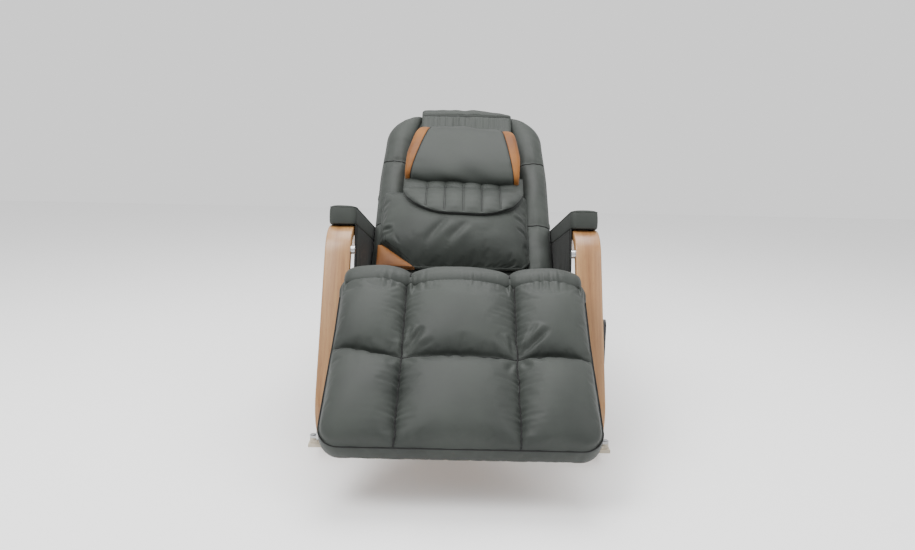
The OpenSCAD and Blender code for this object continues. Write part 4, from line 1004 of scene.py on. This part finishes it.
def make_accent():
    """Tan wedge below the lumbar cushion's slanted edge."""
    reach = LUMBAR_CUT - LUMBAR_S0
    u, v = np.meshgrid(np.linspace(0, 1, 40), np.linspace(0, 0.97, 40))
    s = LUMBAR_S0 - 6 + (reach + 6) * v
    x = LUMBAR_X0 - 6 + (LUMBAR_RATE * (reach + LUMBAR_S0 - s) + 12) * u
    crown = swell(u, 0.5) * swell(v / 0.97, 0.5)
    top = BACK_BASE + 13 + crown * (7 + 0.8 * field(x, s, 111, 50))
    cover = slab("lumbar_accent_cover", in_back, x, s, top, BACK_BASE - 2, TAN, bulged(2))
    cushion(cover, "lumbar_accent", "tan_leatherette")
    seam("accent_rim", edge_path(x, s, top))


BIB_HALF, BIB_S0, BIB_S1 = 190, 165, 318
BIB_TUCK = 50
BIB_CHANNELS = (0, 0.20, 0.35, 0.5, 0.65, 0.80, 1)


def bib_low(q):
    """Place along the back of the apron's scalloped lower hem."""
    c = np.abs(2 * q - 1)
    return BIB_S0 + (BIB_S1 - BIB_S0) * (0.68 * c ** 3 + 0.30 * c ** 16)


def bib_height(x, s, q, i):
    """Top of the apron: it follows the lumbar cushion softly, between channel seams."""
    under = lumbar_top(0.8 * x, np.minimum(s, LUMBAR_S1 - 12)) + 7
    channel = puff(q, BIB_CHANNELS, 0.55)
    hem = swell(np.clip(i, 0, 1), 0.35)
    return under + 5 + 8 * channel * hem + 1.2 * ripple(s, 117, 30) * channel


def make_apron():
    """Channelled apron between pillow and lumbar cushion."""
    q, i = np.meshgrid(np.linspace(0.004, 0.996, 150), end_steps(0, 1, 46))
    s = bib_low(q) + (BIB_S1 + BIB_TUCK - bib_low(q)) * i
    x = BIB_HALF * (2 * q - 1)
    top = bib_height(x, s, q, i)
    low = np.minimum(lumbar_top(x, np.minimum(s, LUMBAR_S1)) - 4, top - 9)
    cover = slab("neck_apron_cover", in_back, x, s, top, low, GREY, bulged(2.5))
    cushion(cover, "neck_apron")
    seam("apron_piping", in_back(x[0], s[0], top[0] - 1), 2.1, GREY)
    seam("apron_hem", in_back(x[0], s[0] - 2.5, top[0] - 4.5), 1.6)
    tree = tree_of(cover)
    lines = []
    for share in BIB_CHANNELS[1:-1]:
        for offset in (-2.2, 2.2):
            column = np.argmin(np.abs(q[0] - share))
            at = np.linspace(s[0, column] + 5, BIB_S1 + 6, 40)
            path = drop(tree, in_back, BIB_HALF * (2 * share - 1) + offset, at, 0.1)
            lines.append(tube("apron_line", resample(path, SEAM_STEP), 0.7, SEAM))
    lines.append(stitches("apron_thread", in_back(x[0, 4:-4], s[0, 4:-4] + 8, top[3, 4:-4] + 0.6), THREAD))
    piece = join("apron_stitching", lines)
    declare(piece, "backrest", "dark_leatherette")


# Head pillow
PILLOW_S, PILLOW_HALF_S, PILLOW_HALF_T, PILLOW_HALF_L = 458, 124, 47, 178
PILLOW_W = BACK_BASE + PILLOW_HALF_T
PILLOW_SEAM, PILLOW_TILT = 0.79, 24
PILLOW_TURN = 3


def rounded_wave(value, power):
    """A sine or cosine made fuller, sign kept."""
    return np.sign(value) * np.abs(value) ** power


def pillow_ring(q, f, gather):
    """One ring of the pillow's roll; gather is how strongly the cover is puckered there."""
    a = np.linspace(0, 2 * np.pi, 72, endpoint=False)
    up, down = rounded_wave(np.cos(a), 0.8), -rounded_wave(np.sin(a), 0.8)
    turns = (ripple(a * 60, 121, 26) * 0.5 + ripple(a * 60, 122, 60)) * np.cos(a / 2) ** 2
    f = f + 0.03 * gather * turns
    lean = PILLOW_TILT * down * min(1, abs(q)) / max(1, abs(q)) ** 2.5
    x = q * PILLOW_SEAM * PILLOW_HALF_L - np.sign(q) * lean
    x = np.sign(x) * np.minimum(np.abs(x), PILLOW_HALF_L + 4)
    soft = 0.018 * np.sin(3 * a + 4 * q) + 0.014 * np.sin(5 * a - 7 * q + 1)
    f = f + soft * max(0, 1 - abs(q)) * 1.6
    return on_pillow(x, PILLOW_HALF_S * f * down, PILLOW_W + PILLOW_HALF_T * f * up)


def on_pillow(x, s, w):
    """The pillow lies turned by a few degrees in the plane of the back."""
    c, d = math.cos(math.radians(PILLOW_TURN)), math.sin(math.radians(PILLOW_TURN))
    return in_back(x * c + s * d, PILLOW_S + s * c - x * d, w)


def make_pillow():
    """Head pillow: a roll with two tan end caps."""
    rings = []
    for q in end_steps(-1, 1, 72):
        body = 1 - 0.06 * abs(q) ** 3 - 0.03 * bell((1 - abs(q)) / 0.03)
        rings.append(pillow_ring(q, body, math.exp(-(1 - abs(q)) / 0.16)))
    cover = loft("head_pillow_cover", rings, GREY)
    cushion(subdivide(cover), "head_pillow")
    caps = []
    reach = 1 / PILLOW_SEAM - 1
    for side, word in SIDES:
        rings = []
        for d in (0.0, 0.06, 0.2, 0.38, 0.56, 0.72, 0.85, 0.94, 0.985, 1.0):
            f = 0.55 + 0.39 * math.sqrt(max(0, 1 - d ** 5)) - 0.03 * bell(d / 0.08)
            rings.append(pillow_ring(side * (1 + reach * d), f, 0.8 * math.exp(-d / 0.3)))
        rings.append(pillow_ring(side * (1 + reach), 0.1, 0))
        caps.append(subdivide(loft("pillow_cap", rings, TAN)))
        ring = pillow_ring(side, 0.915, 1)
        seam(f"pillow_seam_{word}", np.vstack([ring, ring[:1]]), 1.2)
    cushion(join("pillow_caps", caps), "pillow_accents", "tan_leatherette")


# Flap over the top of the back, and the small tabs
FLAP_HALF, FLAP_RISE = 155, 38
FLAP_FRONT, FLAP_REAR = 596, 628
FLAP_SEAM, FLAP_SHIFT = 692, 7


def flap_profile():
    """Outline (s, w) of the flap: from the front hem over the top to the rear hem and back inside."""
    top_s = BACK_LEN + 0.3 + FLAP_RISE
    outer = bend([(FLAP_FRONT, 16), (top_s, 24), (top_s, -85), (FLAP_REAR, -85)], [34, 34], 10)
    inner = [(FLAP_REAR, -71), (BACK_LEN + 1, -71), (BACK_LEN + 1, 7), (FLAP_FRONT, 7)]
    return closed_outline(resample(outer, 5), resample(inner, 16), -1)


def make_flap():
    """Padded flap over the top of the back, gathered along its seam."""
    points, normal, share = flap_profile()
    front = points[:, 1] > 0

    def high(x):
        soft = swell(across_share(x, FLAP_HALF), 0.3)
        strip = smooth(points[:, 0], 628, 645) * smooth(-points[:, 0], -FLAP_SEAM, -FLAP_SEAM + 8) * front
        gathers = ripple(x, 131, 15) * (0.4 + 0.6 * ripple(x, 133, 90) ** 2)
        pinch = -5 * bell((points[:, 0] - FLAP_SEAM) / 5) * front
        waves = 2.2 * ripple(x + 90 * share, 135, 60)
        bulge = 6 * np.sin(np.pi * np.clip(share, 0, 1)) ** 0.5
        rear = np.exp(-np.abs(share - 0.94) / 0.05) * 3 * gathers
        return np.where(share >= 0, soft * (bulge + 3.2 * gathers * strip + rear + waves + pinch), 0)

    cover = swept("head_flap_cover", in_flap, FLAP_HALF, points, normal, high, -normal, 6, GREY, 120)
    cushion(subdivide(cover), "head_flap")
    x = np.linspace(-FLAP_HALF + 5, FLAP_HALF - 5, 90)
    tree = tree_of(cover)
    seam("flap_seam", drop(tree, in_flap, x, FLAP_SEAM, 0.2), 1.0)
    piece = stitches("flap_thread", drop(tree, in_flap, x, FLAP_SEAM + 7, 0.3), THREAD)
    declare(piece, "backrest", "dark_leatherette")


def in_flap(x, s, w):
    """The flap sits a little to the right, and its right end hangs lower."""
    x, s = np.broadcast_arrays(np.asarray(x, float), s)
    over = np.maximum(s - BACK_LEN + 12, 0)
    return in_back(x + FLAP_SHIFT, s - over * 0.42 * smooth(x, 40, FLAP_HALF), w)


def make_tabs():
    """Folded loops of the cover in the side seams."""
    loops = []
    angle = np.linspace(0, 2 * np.pi, 20, endpoint=False)
    for side, at in ((-1, 328), (1, 220)):
        rings = []
        for k in range(9):
            full = 1 - 0.12 * abs(k - 4) / 4
            across = side * (272.3 + 3.2 * full * np.cos(angle) * (1 + 0.2 * np.sin(angle)))
            rings.append(in_back(across, at - 8 + 2 * k, -15 + 6.5 * full * rounded_wave(np.sin(angle), 0.8)))
        loops.append(loft("tab", rings, GREY))
    cushion(join("back_side_loops", loops), "back_side_tabs")


for wing in SIDES:
    make_wing(*wing)
make_middle_pad()
make_rear_panel()
make_lumbar()
make_accent()
make_apron()
make_pillow()
make_flap()
make_tabs()


# Armrests
PAD_X, PAD_HALF, PAD_T0, PAD_T1, PAD_H = 313.5, 34, 30, 582, 46
SKIRT_T0, SKIRT_H = 44, 148
SKIRT_X, SKIRT_FACE = 281.2, 2.61


def make_armrest(side, word):
    """Boxed pad with piping, and the dark panel that hangs inside it."""
    u, v = np.meshgrid(np.linspace(-1, 1, 26), end_steps(0, 1, 130))
    x, t = round_corners(u * PAD_HALF, PAD_T0 + (PAD_T1 - PAD_T0) * v, PAD_HALF, PAD_T0, PAD_T1, 13)
    crown = swell((u + 1) / 2, 0.5) * swell(v, 0.16)
    top = PAD_H - 2 + crown * (8 + 0.9 * field(x, t, 141 + side, 70))
    top = top + 0.8 * ripple(t, 143 + side, 40) * (1 - np.abs(u)) ** 0.3 * np.abs(u)
    x = x + side * PAD_X
    pad = slab(f"arm_pad_cover_{word}", in_arm, x, t, top, 0.3, GREY, bulged(2.2))
    cushion(subdivide(pad), f"arm_pad_{word}", body="base")
    for line, up, material, r in (("piping", top - 0.2, GREY, 1.5), ("seam", top - 4, SEAM, 0.9),
                                  ("low", 5, SEAM, 0.7)):
        seam(f"arm_pad_{line}_{word}", edge_path(x, t, up, in_arm), r, material, "base")

    def in_panel(along, up, out):
        return in_arm(side * out, along, up)

    along, up = np.meshgrid(np.linspace(SKIRT_T0, PAD_T1, 120), np.linspace(-SKIRT_H, -0.3, 40))
    hang = smooth(-up, 0, SKIRT_H)
    wave = hang * (1.2 * ripple(along, 151 + side, 130) + 0.5 * ripple(along + 0.6 * up, 153 + side, 46))
    half = 1.2 + 1.4 * swell((along - SKIRT_T0) / (PAD_T1 - SKIRT_T0), 0.12) * swell(-up / SKIRT_H, 0.2)
    middle = SKIRT_X + wave
    panel = slab(f"side_skirt_cover_{word}", in_panel, along, up, middle + half, middle - half, DARK)
    declare(panel, "base", "dark_leatherette", f"side_skirt_{word}")
    lines = []
    for out in (-SKIRT_FACE, SKIRT_FACE):
        low, inset, front = [in_panel(along[part], up[part], (middle + out)[part])
                             for part in (np.s_[3], np.s_[4, 4:-4], np.s_[3:, 3])]
        lines += [tube("skirt_hem", low, 0.7, SEAM), stitches("skirt_thread", inset, THREAD),
                  tube("skirt_front", front, 0.7, SEAM)]
    piece = join(f"skirt_stitching_{word}", lines)
    declare(piece, "base", "dark_leatherette")


for arm in SIDES:
    make_armrest(*arm)


# Light, floor and finish
FLOOR = 6.0
LIGHTS = (("key", (-1.4, -1.6, 3.0), 0.4, 1.6, 95), ("fill", (2.2, -1.8, 2.2), 0.4, 1.6, 35),
          ("top", (0, 0.3, 3.0), 0.3, 2.0, 90))


def area_light(name, place, aim_z, size, power):
    """Soft square light aimed at a height over the chair's middle."""
    light = bpy.data.lights.new(name, "AREA")
    light.shape = "RECTANGLE"
    light.size = light.size_y = size
    light.energy = power
    lamp = new_object(name, light)
    lamp.location = place
    lamp.rotation_mode = "QUATERNION"
    lamp.rotation_quaternion = (Vector((0, 0, aim_z)) - Vector(place)).to_track_quat("-Z", "Y")


def make_studio():
    """Pale floor under a pale sky with three large soft lights."""
    pale = new_material("floor_pale", (0.90, 0.90, 0.90), 0.9)[0]
    corners = [(x * FLOOR, y * FLOOR, 0) for x, y in ((-1, -1), (1, -1), (1, 1), (-1, 1))]
    add_mesh("floor", corners, [(0, 1, 2, 3)], pale)
    world = bpy.data.worlds.new("sky")
    world.use_nodes = True
    sky = world.node_tree.nodes["Background"].inputs
    sky["Color"].default_value = (1, 1, 1, 1)
    sky["Strength"].default_value = 1.15
    bpy.context.scene.world = world
    for light in LIGHTS:
        area_light(*light)


make_studio()
